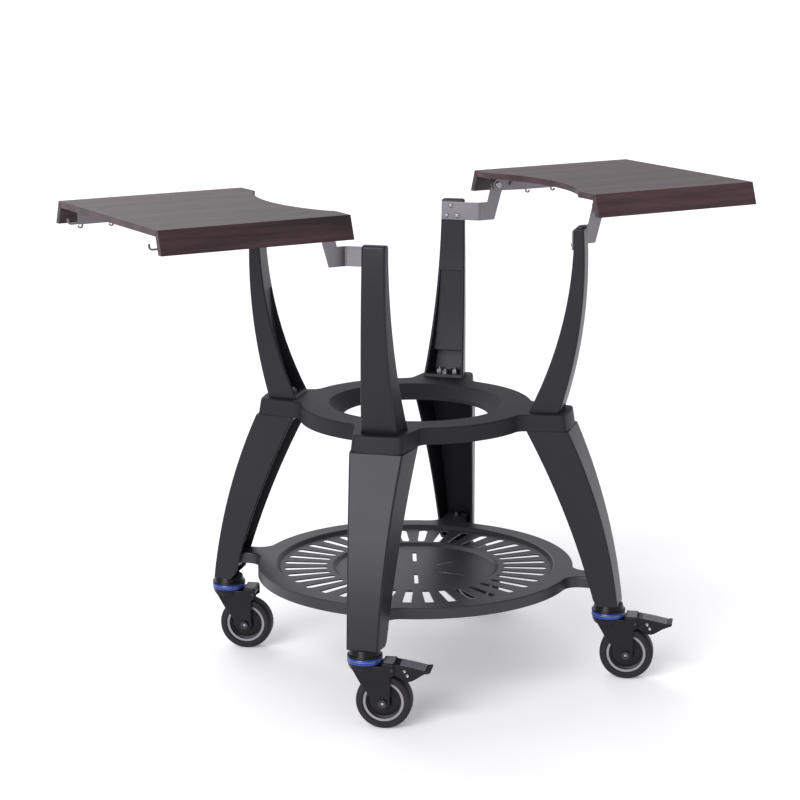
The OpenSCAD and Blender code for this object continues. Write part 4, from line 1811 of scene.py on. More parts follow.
@dataclass
class Casters:
    """Four swivel casters: collar, seal, fork with its hood, wheel, and front brake pedals."""

    foot_r: float = 359.0
    yaw: float = -40.0
    trail: float = 34.0
    seal_d: float = 61.0
    seal_h: float = 10.0
    collar_h: float = 13.5
    wheel_d: float = 97.0
    tyre_w: float = 32.0
    hub_d: float = 72.0
    pin_r: float = 6.0
    axle_r: float = 4.0
    cross_r: float = 3.0
    rim_w: float = 5.2
    cheek_room: float = 4.0
    fork_t: float = 3.0
    fork_front: float = -20.0
    boss_r: float = 13.0

    @property
    def plate_in(self) -> float:
        """Distance from the wheel's middle plane to the fork plates."""
        return self.tyre_w / 2 + self.cheek_room

    @property
    def plate_out(self) -> float:
        """Distance from the wheel's middle plane to the fork's outside."""
        return self.plate_in + self.fork_t

    @property
    def hood_x0(self) -> float:
        """Where the rear hood starts behind the seal."""
        return self.seal_d / 2 + 1.5

    @property
    def hood_x1(self) -> float:
        """Where the rear hood ends."""
        return self.trail + 20

    @property
    def hood_z(self) -> float:
        """Height of the hood's top."""
        return LEVELS.seal + 4.2

    @property
    def pivot(self) -> Flat:
        """Place of the pedal's cross pin, as (along the trail, height)."""
        return (self.hood_x1 - 4.5, LEVELS.seal - 7)

    def place(self, corner: Corner) -> Matrix:
        """Work out where a caster drawn about its swivel axis goes.

        Args:
            corner: The corner that it stands at.

        Returns:
            The move and turn that take it there.
        """
        x, y = self.foot_r * math.cos(corner.angle), self.foot_r * math.sin(corner.angle)
        return shift(x, y, 0) @ turn(self.yaw)

    def on_axle(self) -> Matrix:
        """Return where a wheel part spun about the vertical goes: about the axle."""
        return shift(self.trail, 0, LEVELS.axle) @ turn(90, "X")

    def collar(self) -> bpy.types.Object:
        """Turn the flared collar under a leg, with a rolled lower edge.

        Returns:
            The collar, about the swivel axis.
        """
        r, b, z, h = self.seal_d / 2, self.pin_r + 0.3, LEVELS.collar, self.collar_h
        profile = [(b, z), (r - 0.8, z), (r, z + 0.8), (r, z + 2.4), (r - 0.8, z + 3.6),
                   (r - 2.6, z + 4.2), (r - 3.4, z + 5.4), (r - 4.6, z + h - 1.2),
                   (r - 5.6, z + h), (b, z + h)]
        return spun("collar", profile, 64)

    def seal(self) -> bpy.types.Object:
        """Mould the blue seal ring, with a groove round its side.

        Returns:
            The seal, about the swivel axis.
        """
        r, b, z, h = self.seal_d / 2, self.pin_r + 6, LEVELS.seal, self.seal_h
        profile = [(b, z), (r - 2.2, z), (r - 0.7, z + 0.5), (r, z + 1.6), (r, z + 3.4),
                   (r - 0.5, z + 4.0), (r - 1.6, z + 4.4), (r - 1.6, z + 6.2),
                   (r - 0.5, z + 6.6), (r, z + 7.1), (r, z + h - 1.6),
                   (r - 0.7, z + h - 0.5), (r - 2.2, z + h), (b, z + h)]
        return spun("seal", profile, 72)

    def race(self) -> bpy.types.Object:
        """Turn the bright steel race that shows in the seal's groove.

        Returns:
            The race, about the swivel axis.
        """
        r, z = self.seal_d / 2 - 1.6, LEVELS.seal + 4.6
        profile = [(r - 0.8, z), (r + 0.6, z), (r + 1.0, z + 0.4), (r + 1.0, z + 1.0),
                   (r + 0.6, z + 1.4), (r - 0.8, z + 1.4)]
        return spun("race", profile, 72)

    def fork(self) -> bpy.types.Object:
        """Press the fork with its swivel bowl and rear hood.

        Returns:
            The fork, about the swivel axis.
        """
        crown, seal, axle = LEVELS.crown, LEVELS.seal, LEVELS.axle
        f, t, b = self.fork_front, self.trail, self.boss_r
        x0, x1, hood = self.hood_x0, self.hood_x1, self.hood_z
        outline = [(f, crown + 6), (f + 16, crown - 22), *arc_run(t, axle, b, 190, 350, 12),
                   (t + b, crown - 8), (x1, crown - 3), *arc_run(x1 - 4, hood - 4, 4, 0, 90, 4),
                   (x0, hood), (x0, seal - 1), *arc_run(f + 5, seal - 6, 5, 90, 180, 4)]
        fork = upright("fork", outline, -self.plate_out, self.plate_out)
        round_edges(fork, 2.4, lambda e: abs(e.along.y) < 0.3, segments=3, sharp=60)
        inner = [(f - 5, axle - 30), (x1 + 5, axle - 30), (x1 + 5, hood - 3), (x0 + 2, hood - 3),
                 (x0 + 2, crown), (f - 5, crown)]
        cut(fork, upright("fork room", inner, -self.plate_in, self.plate_in))
        r = self.seal_d / 2
        bowl = spun("fork bowl", [
            (self.pin_r + 0.1, crown), (r - 8, crown), (r - 5.4, crown + 1.4), (r - 3, crown + 5),
            (r - 1.6, crown + 9), (r - 1, seal - 1), (r - 1, seal), (self.pin_r + 0.1, seal)], 64)
        add(fork, bowl)
        seat = rod("seal seat", r + 1, seal, seal + 20, 64)
        bore = rod("king bore", self.pin_r + RUNNING_FIT, crown - 4, seal + 3, 32)
        cut(fork, seat, bore)
        soften(fork, 0.5, segments=2, angle=40)
        return fork

    def tyre(self) -> bpy.types.Object:
        """Mould the tyre, with a crowned tread and rounded shoulders.

        Returns:
            The tyre, on its axle.
        """
        r0, r1, h = self.hub_d / 2 + 0.05, self.wheel_d / 2, self.tyre_w / 2
        side = [(r0, h - 1.2), (r0 + 1.2, h), *arc_run(r1 - 7.2, h - 7.0, 7.0, 90, 8, 7), (r1, 4)]
        profile = [*side, *[(r, -z) for r, z in reversed(side)]]
        return put(spun("tyre", profile, 96), self.on_axle())

    def hub(self) -> bpy.types.Object:
        """Mould the recessed hub disc with its boss.

        Returns:
            The hub, on its axle.
        """
        b, rim, outer = self.axle_r + RUNNING_FIT, self.hub_d / 2 - self.rim_w, self.hub_d / 2
        boss, face = self.tyre_w / 2 + 2.5, self.tyre_w / 2 - 4
        side = [(b, boss), (11.8, boss), (12.9, boss - 1.0), (14.4, 10.6), (16.4, 9.2),
                (rim - 3, 6.2), (rim, 7.4), (rim + 0.3, face), (outer, face)]
        hub = spun("hub", [*side, *[(r, -z) for r, z in reversed(side)]], 72)
        return put(hub, self.on_axle())

    def rim(self) -> bpy.types.Object:
        """Mould the two pale rings between hub disc and tyre, one on each side.

        Returns:
            Both rings, on their axle.
        """
        r0, r1, h = self.hub_d / 2 - self.rim_w, self.hub_d / 2, self.tyre_w / 2 - 2.4
        profile = [(r0, h - 1.5), (r0, h - 0.5), (r0 + 0.6, h), (r1 - 1.2, h),
                   (r1 - 0.2, h - 1.0), (r1 - 0.2, h - 1.5)]
        ring = spun("rim", profile, 96)
        other = twin(ring, "rim copy", turn(180, "X"))
        return put(gather("rims", [ring, other]), self.on_axle())

    def axle(self) -> bpy.types.Object:
        """Make the dark axle bolt with its hex socket, its nut and the pedal's cross pin.

        Returns:
            Bolt, nut and pin in one piece.
        """
        w, z = self.plate_out, LEVELS.axle
        domed = [(0, w), (6.4, w), (7.5, w + 0.9), (7.5, w + 4), (6.6, w + 5), (0, w + 5)]
        head = spun("axle head", domed, 32, closed=False)
        cut(head, six_sided("socket", 3.6, w + 2, w + 8))
        parts = [
            put(head, turn(90, "X")),
            put(Fasteners.stud("axle shaft", self.axle_r, -w - 8, w), turn(90, "X")),
            put(Fasteners.hex_head("axle nut", 7.5, -w, -w - 6), turn(90, "X")),
        ]
        at_axle = [put(part, shift(self.trail, 0, z)) for part in parts]
        end = w + 1.5
        r, c = self.cross_r, 0.6
        profile = [(0, -end), (r - c, -end), (r, -end + c), (r, end - c), (r - c, end), (0, end)]
        pin = spun("cross pin", profile, 24, closed=False)
        at_axle.append(put(pin, shift(self.pivot[0], 0, self.pivot[1]) @ turn(90, "X")))
        return gather("axle", at_axle)

    def socket_glint(self) -> bpy.types.Object:
        """Make a bright six-sided insert in the axle bolt's socket: a painted highlight for the
        glint of the socket's facets.

        Returns:
            The insert, at the bolt head.
        """
        w = self.plate_out
        glint = six_sided("socket glint", 3.0, w + 2.4, w + 3.6)
        soften(glint, 0.3, segments=1)
        return put(put(glint, turn(90, "X")), shift(self.trail, 0, LEVELS.axle))

    def rivets(self) -> bpy.types.Object:
        """Make the two small rivets on each side of the pedal.

        Returns:
            All four rivets in one piece.
        """
        profile = [(0, 0), (2.8, 0), (2.7, 0.7), (2.2, 1.1), (1.7, 0.9), (1.4, 0.3), (0, 0.2)]
        dot = spun("rivet", profile, 20, closed=False)
        made = []
        out = self.tyre_w / 2 + 3.4
        for x, z in ((71.0, LEVELS.seal - 8.5), (76.0, LEVELS.seal - 16.0)):
            for side in (-1, 1):
                at = shift(x, side * out, z) @ turn(-90 * side, "X")
                made.append(twin(dot, "rivet copy", at))
        drop(dot)
        return gather("rivets", made)

    def pedal(self) -> bpy.types.Object:
        """Press the brake pedal: cheeks, turned-up tread plate and shoe.

        Returns:
            The pedal, about the swivel axis.
        """
        x, z = self.hood_x1, self.hood_z
        px, pz = self.pivot
        out, room = self.tyre_w / 2 + 3.5, self.tyre_w / 2 + 1
        outline = [(px - 6, pz - 4), *arc_run(px - 2.5, pz + 3.5, 3.5, 180, 90, 3),
                   (x + 1, z - 1.5), (x + 6, z - 2.5), (x + 30, z - 6.4), (x + 53, z - 11),
                   (x + 59, z - 9.5), (x + 61.3, z - 11), (x + 61.2, z - 13.4),
                   (x + 58.5, z - 15.4), (x + 50, z - 17), (x + 44, z - 21),
                   (x + 37.5, z - 25.6), (x + 31, z - 29.5), (x + 24, z - 32),
                   (x + 16, z - 31), (x + 8, z - 25), (px - 3.5, pz - 7)]
        pedal = upright("pedal", outline, -out, out)
        round_edges(
            pedal, 1.8, lambda e: abs(e.along.y) < 0.3 and e.middle.x > x, segments=3, sharp=60
        )
        inner = [(px - 9, z - 45), (x + 66, z - 45), (x + 66, z - 16.5), (x + 58, z - 14.6),
                 (x + 53, z - 14), (x + 6, z - 5.5), (x + 1, z - 4), (x + 1, z + 2),
                 (px - 9, z + 2)]
        cut(pedal, upright("pedal room", inner, -room, room))
        shoe = [(x + 8, z - 24), (x + 20, z - 31), (x + 22, z - 7), (x + 12, z - 5)]
        add(pedal, upright("pedal shoe", shoe, -room - 0.8, room + 0.8))
        hole = rod("pedal bore", self.cross_r + RUNNING_FIT, -30, 30, 24)
        cut(pedal, put(hole, shift(px, 0, pz) @ turn(90, "X")))
        soften(pedal, 0.5, segments=2, angle=40)
        return pedal

    def tread(self) -> bpy.types.Object:
        """Mould the grey ribbed tread that covers the pedal's top; its pale grey is painted sheen,
        for the light that the top reflects.

        Returns:
            The tread, on its pedal.
        """
        x, z = self.hood_x1, self.hood_z
        top = [(x + 9, z - 2.9), (x + 30, z - 6.3), (x + 52, z - 10.7)]
        outline = [(a, b + 0.9) for a, b in top] + [(a, b - 0.5) for a, b in reversed(top)]
        tread = upright("tread", outline, -16.5, 16.5)
        count, first, pitch, fall = 9, 13, 4.4, 0.181
        grooves = []
        for i in range(count):
            gx = x + first + pitch * i
            gz = z - 2.9 - (gx - x - 9) * fall
            groove = [(gx - 0.7, gz + 2), (gx + 0.7, gz + 2),
                      (gx + 0.35, gz + 0.35), (gx - 0.35, gz + 0.35)]
            grooves.append(upright("groove", groove, -20, 20))
        cut(tread, gather("grooves", grooves))
        soften(tread, 0.25, segments=1, angle=50)
        return tread

    def hood_sheen_plate(self) -> bpy.types.Object:
        """Mould the pale pad on top of a hood, where the pedal's plate begins: painted sheen, a
        pale sheet for the light that the hood's top reflects.

        Returns:
            The pad, on its hood.
        """
        x0, x1, z = self.hood_x0 + 3, self.hood_x1 - 2.5, self.hood_z
        plate = level("hood sheen plate", [(x0, -18), (x1, -18), (x1, 18), (x0, 18)], z - 0.4, z + 0.5)
        round_edges(plate, 2.5, lambda e: e.is_upright(), segments=3)
        soften(plate, 0.25, segments=1)
        return plate

    def build(self, shop: PaintShop) -> None:
        """Make one of each part and set them under the four legs.

        Args:
            shop: Where the pieces get their finish.
        """
        collar, seal, fork, tyre = self.collar(), self.seal(), self.fork(), self.tyre()
        hub, rim, axle = self.hub(), self.rim(), self.axle()
        pedal, tread, rivets = self.pedal(), self.tread(), self.rivets()
        # The pale hood pad paints sheen on the hood's top; the bright socket insert paints the
        # glint in the axle bolt's socket.
        plate, glint, race = self.hood_sheen_plate(), self.socket_glint(), self.race()
        collars = [twin(collar, "collar copy", self.place(corner)) for corner in Corner]
        shop.deliver(
            gather("collars", collars), "turned_collars", "frame", Paint.CASTER, "caster_collars"
        )
        for corner in Corner:
            at, label = self.place(corner), corner.label
            swivel, wheel = f"swivel_{label}", f"wheel_{label}"
            for pattern, name, body, paint, node in (
                (seal, "dust_seal", swivel, Paint.SEAL, f"seal_{label}"),
                (fork, "pressed_fork", swivel, Paint.CASTER, f"fork_{label}"),
                (axle, "axle_bolt", swivel, Paint.BLUED, f"axle_{label}"),
                # Bright insert in the bolt's socket: painted highlight.
                (glint, "axle_socket_glint", swivel, Paint.ZINC, None),
                (race, "seal_race", swivel, Paint.ZINC, None),
                # Pale pad on the hood's top: painted sheen.
                (plate, "hood_sheen_pad", swivel, Paint.SHEEN_TREAD, None),
                (hub, "hub_disc", wheel, Paint.HUB, f"hub_{label}"),
                (rim, "rim_ring", wheel, Paint.RIM, None),
                (tyre, "round_tyre", wheel, Paint.RUBBER, f"tyre_{label}"),
            ):
                shop.deliver(twin(pattern, "caster part", at), f"{name}_{label}", body, paint, node)
            if corner.is_front:
                brake = f"brake_{label}"
                shop.deliver(
                    twin(pedal, "pedal copy", at), f"brake_pedal_{label}", brake, Paint.CASTER,
                    f"pedal_{label}"
                )
                # The tread's pale grey: painted sheen.
                shop.deliver(
                    twin(tread, "tread copy", at), f"pedal_tread_{label}", brake, Paint.SHEEN_TREAD
                )
                shop.deliver(
                    twin(rivets, "rivet copy", at), f"pedal_rivets_{label}", brake, Paint.ZINC
                )
        drop(collar, seal, fork, tyre, hub, rim, axle, pedal, tread, rivets, plate, glint, race)


# ---- Side shelves and their brackets ----


@dataclass
class SideShelves:
    """Two folding side shelves: board, splayed edge boards, hangers, screws and pins."""

    x0: float = 247.5
    length: float = 352.0
    width: float = 394.0
    thick: float = 11.0
    clear_r: float = 290.0
    apron_h: float = 40.0
    splay: float = 18.0
    ear_y: float = 165.0
    pin_inset: float = 30.0
    pin_d: float = 7.0
    hanger_t: float = 2.7
    hanger_h: float = 25.5
    flange_w: float = 20.0
    hooks: int = 5
    hook_x: float = 62.0
    hanger_short: float = 19.0
    screw_x: float = 18.0
    screw_end: float = 40.0

    @property
    def x1(self) -> float:
        """Outer end of a shelf."""
        return self.x0 + self.length

    @property
    def pin_x(self) -> float:
        """Place of the hinge pins along the shelf."""
        return self.x0 + self.pin_inset

    @property
    def hanger_y0(self) -> float:
        """Inner face of a hanger plate."""
        return self.ear_y - 1.5 - 0.3 - self.hanger_t

    @property
    def mitre_y(self) -> float:
        """Half width of the board's underside, where it meets the edge boards."""
        lean = math.radians(self.splay)
        return self.width / 2 - self.thick / math.cos(lean) + self.thick * math.tan(lean)

    def board(self) -> bpy.types.Object:
        """Saw the board, with its curved cut-out and mitred long edges.

        Returns:
            The right board.
        """
        half, r = self.width / 2, self.clear_r
        reach = math.degrees(math.acos((self.x0 + 0.01) / r))
        soft = 3.0
        outline = [(self.x1 - 0.01, half), (self.x0, half)]
        arc = arc_run(0, 0, r, reach - soft, -(reach - soft), 40)
        outline += [(self.x0, arc[0][1] + 9), (self.x0 + 1.2, arc[0][1] + 4.2), *arc,
                    (self.x0 + 1.2, arc[-1][1] - 4.2), (self.x0, arc[-1][1] - 9)]
        outline += [(self.x0, -half), (self.x1 - 0.01, -half)]
        board = level("board", outline, LEVELS.board_low, LEVELS.board)
        drop_z, inset = LEVELS.board - LEVELS.board_low, half - self.mitre_y
        for side in (-1, 1):
            with editing(board, "FACE"):
                bpy.ops.mesh.select_all(action="SELECT")
                bpy.ops.mesh.bisect(
                    plane_co=(0, side * half * MM, LEVELS.board * MM),
                    plane_no=(0, side * drop_z, -inset), use_fill=True, clear_outer=True,
                )
        face_out(board)
        round_edges(
            board, 1.0, lambda e: e.middle.z > LEVELS.board - 0.2 and abs(e.along.x) > 0.99, 2,
            sharp=20
        )
        round_edges(
            board, 1.6, lambda e: e.middle.z > LEVELS.board - 0.2 and abs(e.along.x) < 0.99, 3,
            sharp=60
        )
        return board

    def apron(self) -> bpy.types.Object:
        """Saw the edge board, splayed outwards.

        Returns:
            The rear edge board of the right shelf.
        """
        lean = math.radians(self.splay)
        low = LEVELS.board - self.apron_h
        out = self.width / 2 + self.apron_h * math.tan(lean)
        thick = self.thick / math.cos(lean)
        section = [
            (self.width / 2, LEVELS.board), (out, low), (out - thick, low),
            (self.mitre_y, LEVELS.board_low)
        ]
        apron = prism("apron", [(self.x0, y, z) for y, z in section], (self.length, 0, 0))
        round_edges(apron, 1.0, lambda e: e.middle.z > LEVELS.board - 0.2, 2, sharp=20)
        round_edges(
            apron, 1.8, lambda e: e.middle.z < LEVELS.board - 1 and e.middle.y > self.mitre_y + 1,
            3, sharp=50
        )
        return apron

    def hook(self, x: float, low: float) -> list[Flat]:
        """Draw one tool hook as a detour of a hanger's lower edge.

        Args:
            x: Where the hook hangs.
            low: Height of the hanger's lower edge.

        Returns:
            The corners of the detour.
        """
        z, out, room = low - 2.2, 5.0, 2.6
        return [
            (x - out, low), *arc_run(x, z, out, 180, 360, 10), *arc_run(x, z, room, 360, 180, 10),
            (x - room, low)
        ]

    def hanger(self) -> bpy.types.Object:
        """Cut and bend a hanger: a plate with hooks, a flange and a stop stud.

        Returns:
            The rear hanger of the right shelf.
        """
        pin_x, pin_z = self.pin_x, LEVELS.pin
        x1 = self.x1 - self.hanger_short
        low, high = LEVELS.board_low - self.hanger_h - 1.5, LEVELS.board_low
        first = pin_x + self.hook_x
        step = (x1 - 10 - first) / (self.hooks - 1)
        edge = [*arc_run(pin_x, pin_z, 11, 112, 268, 14)]
        for i in range(self.hooks):
            edge += self.hook(first + step * i + 5, low)
        cx, cz = x1 + 12, low + 7.5
        edge += [(x1 - 1, low), (x1 - 1, cz - 7), *arc_run(cx, cz, 7, 270, 360, 7),
                 (cx + 7, cz + 4), (cx + 4, cz + 4), *arc_run(cx, cz, 4, 360, 270, 6),
                 (x1, cz - 4), (x1, high), (pin_x + 12, high)]
        y0 = self.hanger_y0
        plate = upright("hanger", edge, y0, y0 + self.hanger_t)
        t, f = self.hanger_t, self.clear_r + 4
        strip = [(f, high - t), (x1, high - t), (x1, high - 0.05), (f, high - 0.05)]
        flange = upright("hanger flange", strip, y0 - self.flange_w, y0 + 1)
        square = [(pin_x + 26, pin_z - 2), (pin_x + 32, pin_z - 2), (pin_x + 32, pin_z + 4),
                  (pin_x + 26, pin_z + 4)]
        stud = upright("hanger stud", square, y0 - 4, y0 + 1)
        add(plate, flange, stud)
        soften(plate, 0.45, segments=2, angle=50)
        return plate

    def pins(self) -> bpy.types.Object:
        """Turn a hinge pin with domed heads.

        Returns:
            The rear pin of the right shelf.
        """
        y0, y1 = self.hanger_y0, self.ear_y + 1.8
        r = self.pin_d / 2
        profile = [(0, y0 - 3), (r + 1.6, y0 - 3), (r + 2.5, y0 - 2.2), (r + 2.5, y0), (r, y0),
                   (r, y1), (r + 2, y1), (r + 1.7, y1 + 1.2), (r, y1 + 2), (0, y1 + 2)]
        pin = spun("pin", profile, 32, closed=False)
        return put(pin, shift(self.pin_x, 0, LEVELS.pin) @ turn(-90, "X"))

    def wood_screw(self) -> bpy.types.Object:
        """Make a pan-head screw seen from below, with a cross recess.

        Returns:
            The screw head, at the origin.
        """
        profile = [(0, -2.6), (2.6, -2.4), (4.0, -1.5), (4.5, -0.4), (4.5, 0), (0, 0)]
        head = spun("wood screw", profile, 24, closed=False)
        Fasteners.cross_recess(head, 2.4, -4, -1.4)
        return head

    def build(self, shop: PaintShop) -> None:
        """Make one shelf's parts and mirror them to each side.

        Args:
            shop: Where the pieces get their finish.
        """
        board, apron, hanger = self.board(), self.apron(), self.hanger()
        pin, screw = self.pins(), self.wood_screw()
        f0, f1 = self.clear_r + self.screw_x, self.x1 - self.screw_end
        y, z = self.hanger_y0 - self.flange_w / 2, LEVELS.board_low - self.hanger_t
        spots = [shift(f0 + (f1 - f0) * i / 2, y, z) for i in range(3)]
        row = gather("screw row", [twin(screw, "screw copy", spot) for spot in spots])
        for corner in (Corner.REAR_LEFT, Corner.REAR_RIGHT):
            side = corner.side
            body = f"side_shelf_{side}"
            ends = (corner, Corner.FRONT_LEFT if side == "left" else Corner.FRONT_RIGHT)
            top = twin(board, "board copy", mirror_to(corner))
            shop.deliver(top, f"wood_board_{side}", body, Paint.WOOD, f"board_{side}")
            for end in ends:
                label = f"{'front' if end.is_front else 'rear'}_{side}"
                for pattern, name, paint, node in (
                    (apron, "edge_board", Paint.WOOD, "apron"),
                    (hanger, "steel_hanger", Paint.HANGER, "hanger"),
                ):
                    copy = twin(pattern, "shelf part", mirror_to(end))
                    shop.deliver(copy, f"{name}_{label}", body, paint, f"{node}_{label}")
            for pattern, name, node in (
                (row, "shelf_screws", "board_screws"), (pin, "shelf_pins", "hinge_pins")
            ):
                pair = gather(name, [twin(pattern, "shelf part", mirror_to(end)) for end in ends])
                shop.deliver(pair, f"{name}_{side}", body, Paint.ZINC, f"{node}_{side}")
        drop(board, apron, hanger, pin, screw, row)


@dataclass
class Brackets:
    """Four bent sheet-steel brackets that carry the side shelves on the arms."""

    arm: CurvedPost
    shelf: SideShelves
    thick: float = 3.0
    height: float = 34.0
    lobe_r: float = 13.2
    bend_r: float = 9.0
    end_s: float = 21.2

    @property
    def low(self) -> float:
        """Height of the plate's lower edge."""
        return LEVELS.plate - self.height

    @property
    def plate_r(self) -> float:
        """Distance from the centre line to the plate's outer face."""
        return self.arm.inner.at(self.low)

    def strip(self) -> list[Flat]:
        """Draw the bracket from above: plate on the arm, bend, and ear along X.

        Returns:
            The closed outline of the bent strip.
        """
        k, ear_y = DIAGONAL, self.shelf.ear_y
        mid = self.plate_r - self.thick / 2
        corner_s = ear_y / k - mid
        corner = Vector((k * (mid - corner_s), k * (mid + corner_s)))
        run = self.bend_r * math.tan(math.radians(22.5))
        start = corner + Vector((-k, k)) * run
        centre = start + Vector((k, k)) * self.bend_r
        middle = [Vector((k * (mid - self.end_s), k * (mid + self.end_s)))]
        middle += [Vector(p) for p in arc_run(centre.x, centre.y, self.bend_r, 225, 270, 7)]
        middle.append(Vector((self.shelf.pin_x + self.lobe_r + 2, ear_y)))
        sides: list[list[Flat]] = [[], []]
        for i, point in enumerate(middle):
            a, b = middle[max(i - 1, 0)], middle[min(i + 1, len(middle) - 1)]
            along = (b - a).normalized()
            if 1 < i < len(middle) - 2:
                along = Vector((-(point.y - centre.y), point.x - centre.x)).normalized()
            elif i <= 1:
                along = Vector((k, -k))
            else:
                along = Vector((1, 0))
            out = Vector((along.y, -along.x)) * self.thick / 2
            sides[0].append(tuple(point + out))
            sides[1].append(tuple(point - out))
        return [*sides[0], *reversed(sides[1])]

    def model(self) -> bpy.types.Object:
        """Bend the bracket and cut its profile and pin hole.

        Returns:
            The rear right bracket.
        """
        px, pz, r, ear_y = self.shelf.pin_x, LEVELS.pin, self.lobe_r, self.shelf.ear_y
        strip = level("bracket", self.strip(), self.low - 1, pz + r + 1)
        x_bend = DIAGONAL * (2 * (self.plate_r - self.thick / 2)) - ear_y
        foot = x_bend + 33
        profile = [(150, self.low), (foot, self.low), (px + r, pz - 2),
                   *arc_run(px, pz, r, 0, 180, 18), (px - r, pz - 2),
                   (px - r - 8, LEVELS.plate), (150, LEVELS.plate)]
        combine(strip, upright("bracket profile", profile, 90, 260), "INTERSECT")
        hole = rod("pin bore", self.shelf.pin_d / 2 + RUNNING_FIT, -20, 20, 24)
        cut(strip, put(hole, shift(px, ear_y, pz) @ turn(90, "X")))
        soften(strip, 0.5, segments=2, angle=50)
        return strip

    def screws(self) -> bpy.types.Object:
        """Make the three pan-head screws of a bracket.

        Returns:
            The rear right bracket's screws in one piece.
        """
        head_r = self.plate_r - self.thick
        spots = [(3, LEVELS.plate - 7), (11, self.low + 8), (-9, self.low + 8)]
        profile = [(0, 0), (4.5, 0), (4.5, 0.5), (4.0, 1.6), (2.8, 2.4), (0, 2.6)]
        head = spun("bracket screw", profile, 24, closed=False)
        Fasteners.cross_recess(head, 2.5, 1.4, 4)
        made = [
            twin(head, "head", turn(45) @ shift(head_r, y, z) @ turn(-90, "Y")) for y, z in spots
        ]
        drop(head)
        return gather("bracket screws", made)

    def build(self, shop: PaintShop) -> None:
        """Bend the bracket once and mirror it to each corner.

        Args:
            shop: Where the pieces get their finish.
        """
        bracket, screws = self.model(), self.screws()
        heads = []
        for corner in Corner:
            copy = twin(bracket, "bracket copy", mirror_to(corner))
            shop.deliver(
                copy, f"steel_bracket_{corner.label}", "frame", Paint.STEEL,
                f"bracket_{corner.label}"
            )
            heads.append(twin(screws, "screws copy", mirror_to(corner)))
        shop.deliver(
            gather("screws", heads), "bracket_screw_heads", "frame", Paint.ZINC, "bracket_screws"
        )
        drop(bracket, screws)


# ---- Studio ----


@dataclass(frozen=True)
class Lamp:
    """A wide, soft light, hung in a direction given in degrees across and above."""

    name: str
    across: float
    above: float
    power: float
    width: float

    def hang(self, tint: Point) -> None:
        """Hang the light.

        Args:
            tint: Colour of its light.
        """
        lamp = bpy.data.lights.new(self.name, "SUN")
        lamp.energy = self.power
        lamp.angle = math.radians(self.width)
        lamp.color = tint
        holder = bpy.data.objects.new(self.name, lamp)
        bpy.context.scene.collection.objects.link(holder)
        a, e = math.radians(self.across), math.radians(self.above)
        towards = Vector((math.cos(a) * math.cos(e), math.sin(a) * math.cos(e), math.sin(e)))
        facing = towards.to_track_quat("Z", "Y").to_matrix().to_4x4()
        holder.matrix_world = Matrix.Translation(towards * 6) @ facing


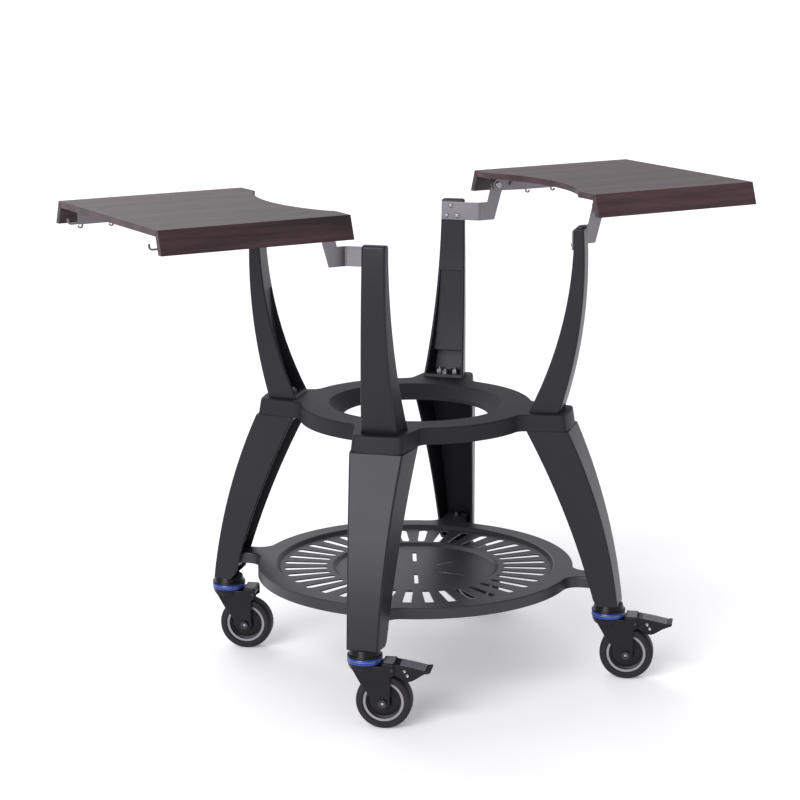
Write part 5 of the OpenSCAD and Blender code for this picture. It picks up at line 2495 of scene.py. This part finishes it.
@dataclass
class Studio:
    """Pale floor, soft lights and the camera."""

    eye: Point = (-2.2498, -3.7048, 1.4548)
    target: Point = (0.0, 0.0, 0.49236)
    roll: float = 0.204
    lens: float = 110.62
    shift_x: float = -0.02
    ambient: float = 0.55
    tint: Point = (0.975, 0.965, 1.0)
    lamps: tuple[Lamp, ...] = (
        Lamp("key", 208.0, 27.0, 2.6, 40.0),
        Lamp("back", 86.0, 36.0, 0.8, 45.0),
    )
    floor_r: float = 40.0

    def floor(self) -> None:
        """Lay the floor."""
        clear_selection()
        bpy.ops.mesh.primitive_circle_add(
            vertices=96, radius=self.floor_r, fill_type="NGON", location=(0, 0, 0)
        )
        floor = bpy.context.object
        floor.name = "studio_floor"
        floor.data.materials.append(StudioFloor().mix())

    def room(self) -> None:
        """Set a white room that lights the stand less than it shows."""
        world = bpy.data.worlds.new("studio")
        world.use_nodes = True
        nodes, links = world.node_tree.nodes, world.node_tree.links
        soft = nodes["Background"]
        soft.inputs["Color"].default_value = (*self.tint, 1)
        soft.inputs["Strength"].default_value = self.ambient
        white = nodes.new("ShaderNodeBackground")
        white.inputs["Color"].default_value = (1, 1, 1, 1)
        seen = nodes.new("ShaderNodeLightPath")
        mixed = nodes.new("ShaderNodeMixShader")
        links.new(seen.outputs["Is Camera Ray"], mixed.inputs[0])
        links.new(soft.outputs[0], mixed.inputs[1])
        links.new(white.outputs[0], mixed.inputs[2])
        links.new(mixed.outputs[0], nodes["World Output"].inputs["Surface"])
        bpy.context.scene.world = world

    def lights(self) -> None:
        """Hang the key light at the left and the one behind."""
        for lamp in self.lamps:
            lamp.hang(self.tint)

    def camera(self) -> None:
        """Set the camera."""
        eye, target = Vector(self.eye), Vector(self.target)
        ahead = (target - eye).normalized()
        right = ahead.cross(Vector((0, 0, 1))).normalized()
        up = right.cross(ahead)
        c, s = math.cos(math.radians(self.roll)), math.sin(math.radians(self.roll))
        across, upward = right * c + up * s, up * c - right * s
        data = bpy.data.cameras.new("camera")
        data.sensor_width = 36
        data.lens = self.lens
        data.shift_x = self.shift_x
        data.clip_end = 100
        camera = bpy.data.objects.new("camera", data)
        bpy.context.scene.collection.objects.link(camera)
        frame = Matrix((across, upward, -ahead)).transposed().to_4x4()
        frame.translation = eye
        camera.matrix_world = frame
        bpy.context.scene.camera = camera

    def build(self) -> None:
        """Set up the whole studio."""
        self.camera()
        self.room()
        self.lights()
        self.floor()
        bpy.context.scene.view_settings.view_transform = "Standard"


def main() -> None:
    """Build every sub-assembly in order, and report."""
    logging.basicConfig(level=logging.INFO, format="%(name)s %(message)s", stream=sys.stdout)
    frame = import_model()
    shop = PaintShop()
    Studio().build()
    legs, arms, lower, shelves = Legs(), Arms(), LowerShelf(), SideShelves()
    for title, work in (
        ("legs", lambda: legs.build(shop)),
        ("arms", lambda: arms.build(shop)),
        ("support ring", lambda: SupportRing().build(shop)),
        ("lower shelf", lambda: lower.build(shop, legs.post)),
        ("fasteners", lambda: Fasteners().build(shop, legs, arms, lower)),
        ("casters", lambda: Casters().build(shop)),
        ("side shelves", lambda: shelves.build(shop)),
        ("brackets", lambda: Brackets(arms.post, shelves).build(shop)),
    ):
        work()
        log.info("%s done, %d pieces so far", title, shop.count)
    shop.coat(frame["nodes"]["kingpins"], Paint.ZINC)


if __name__ == "__main__":
    main()
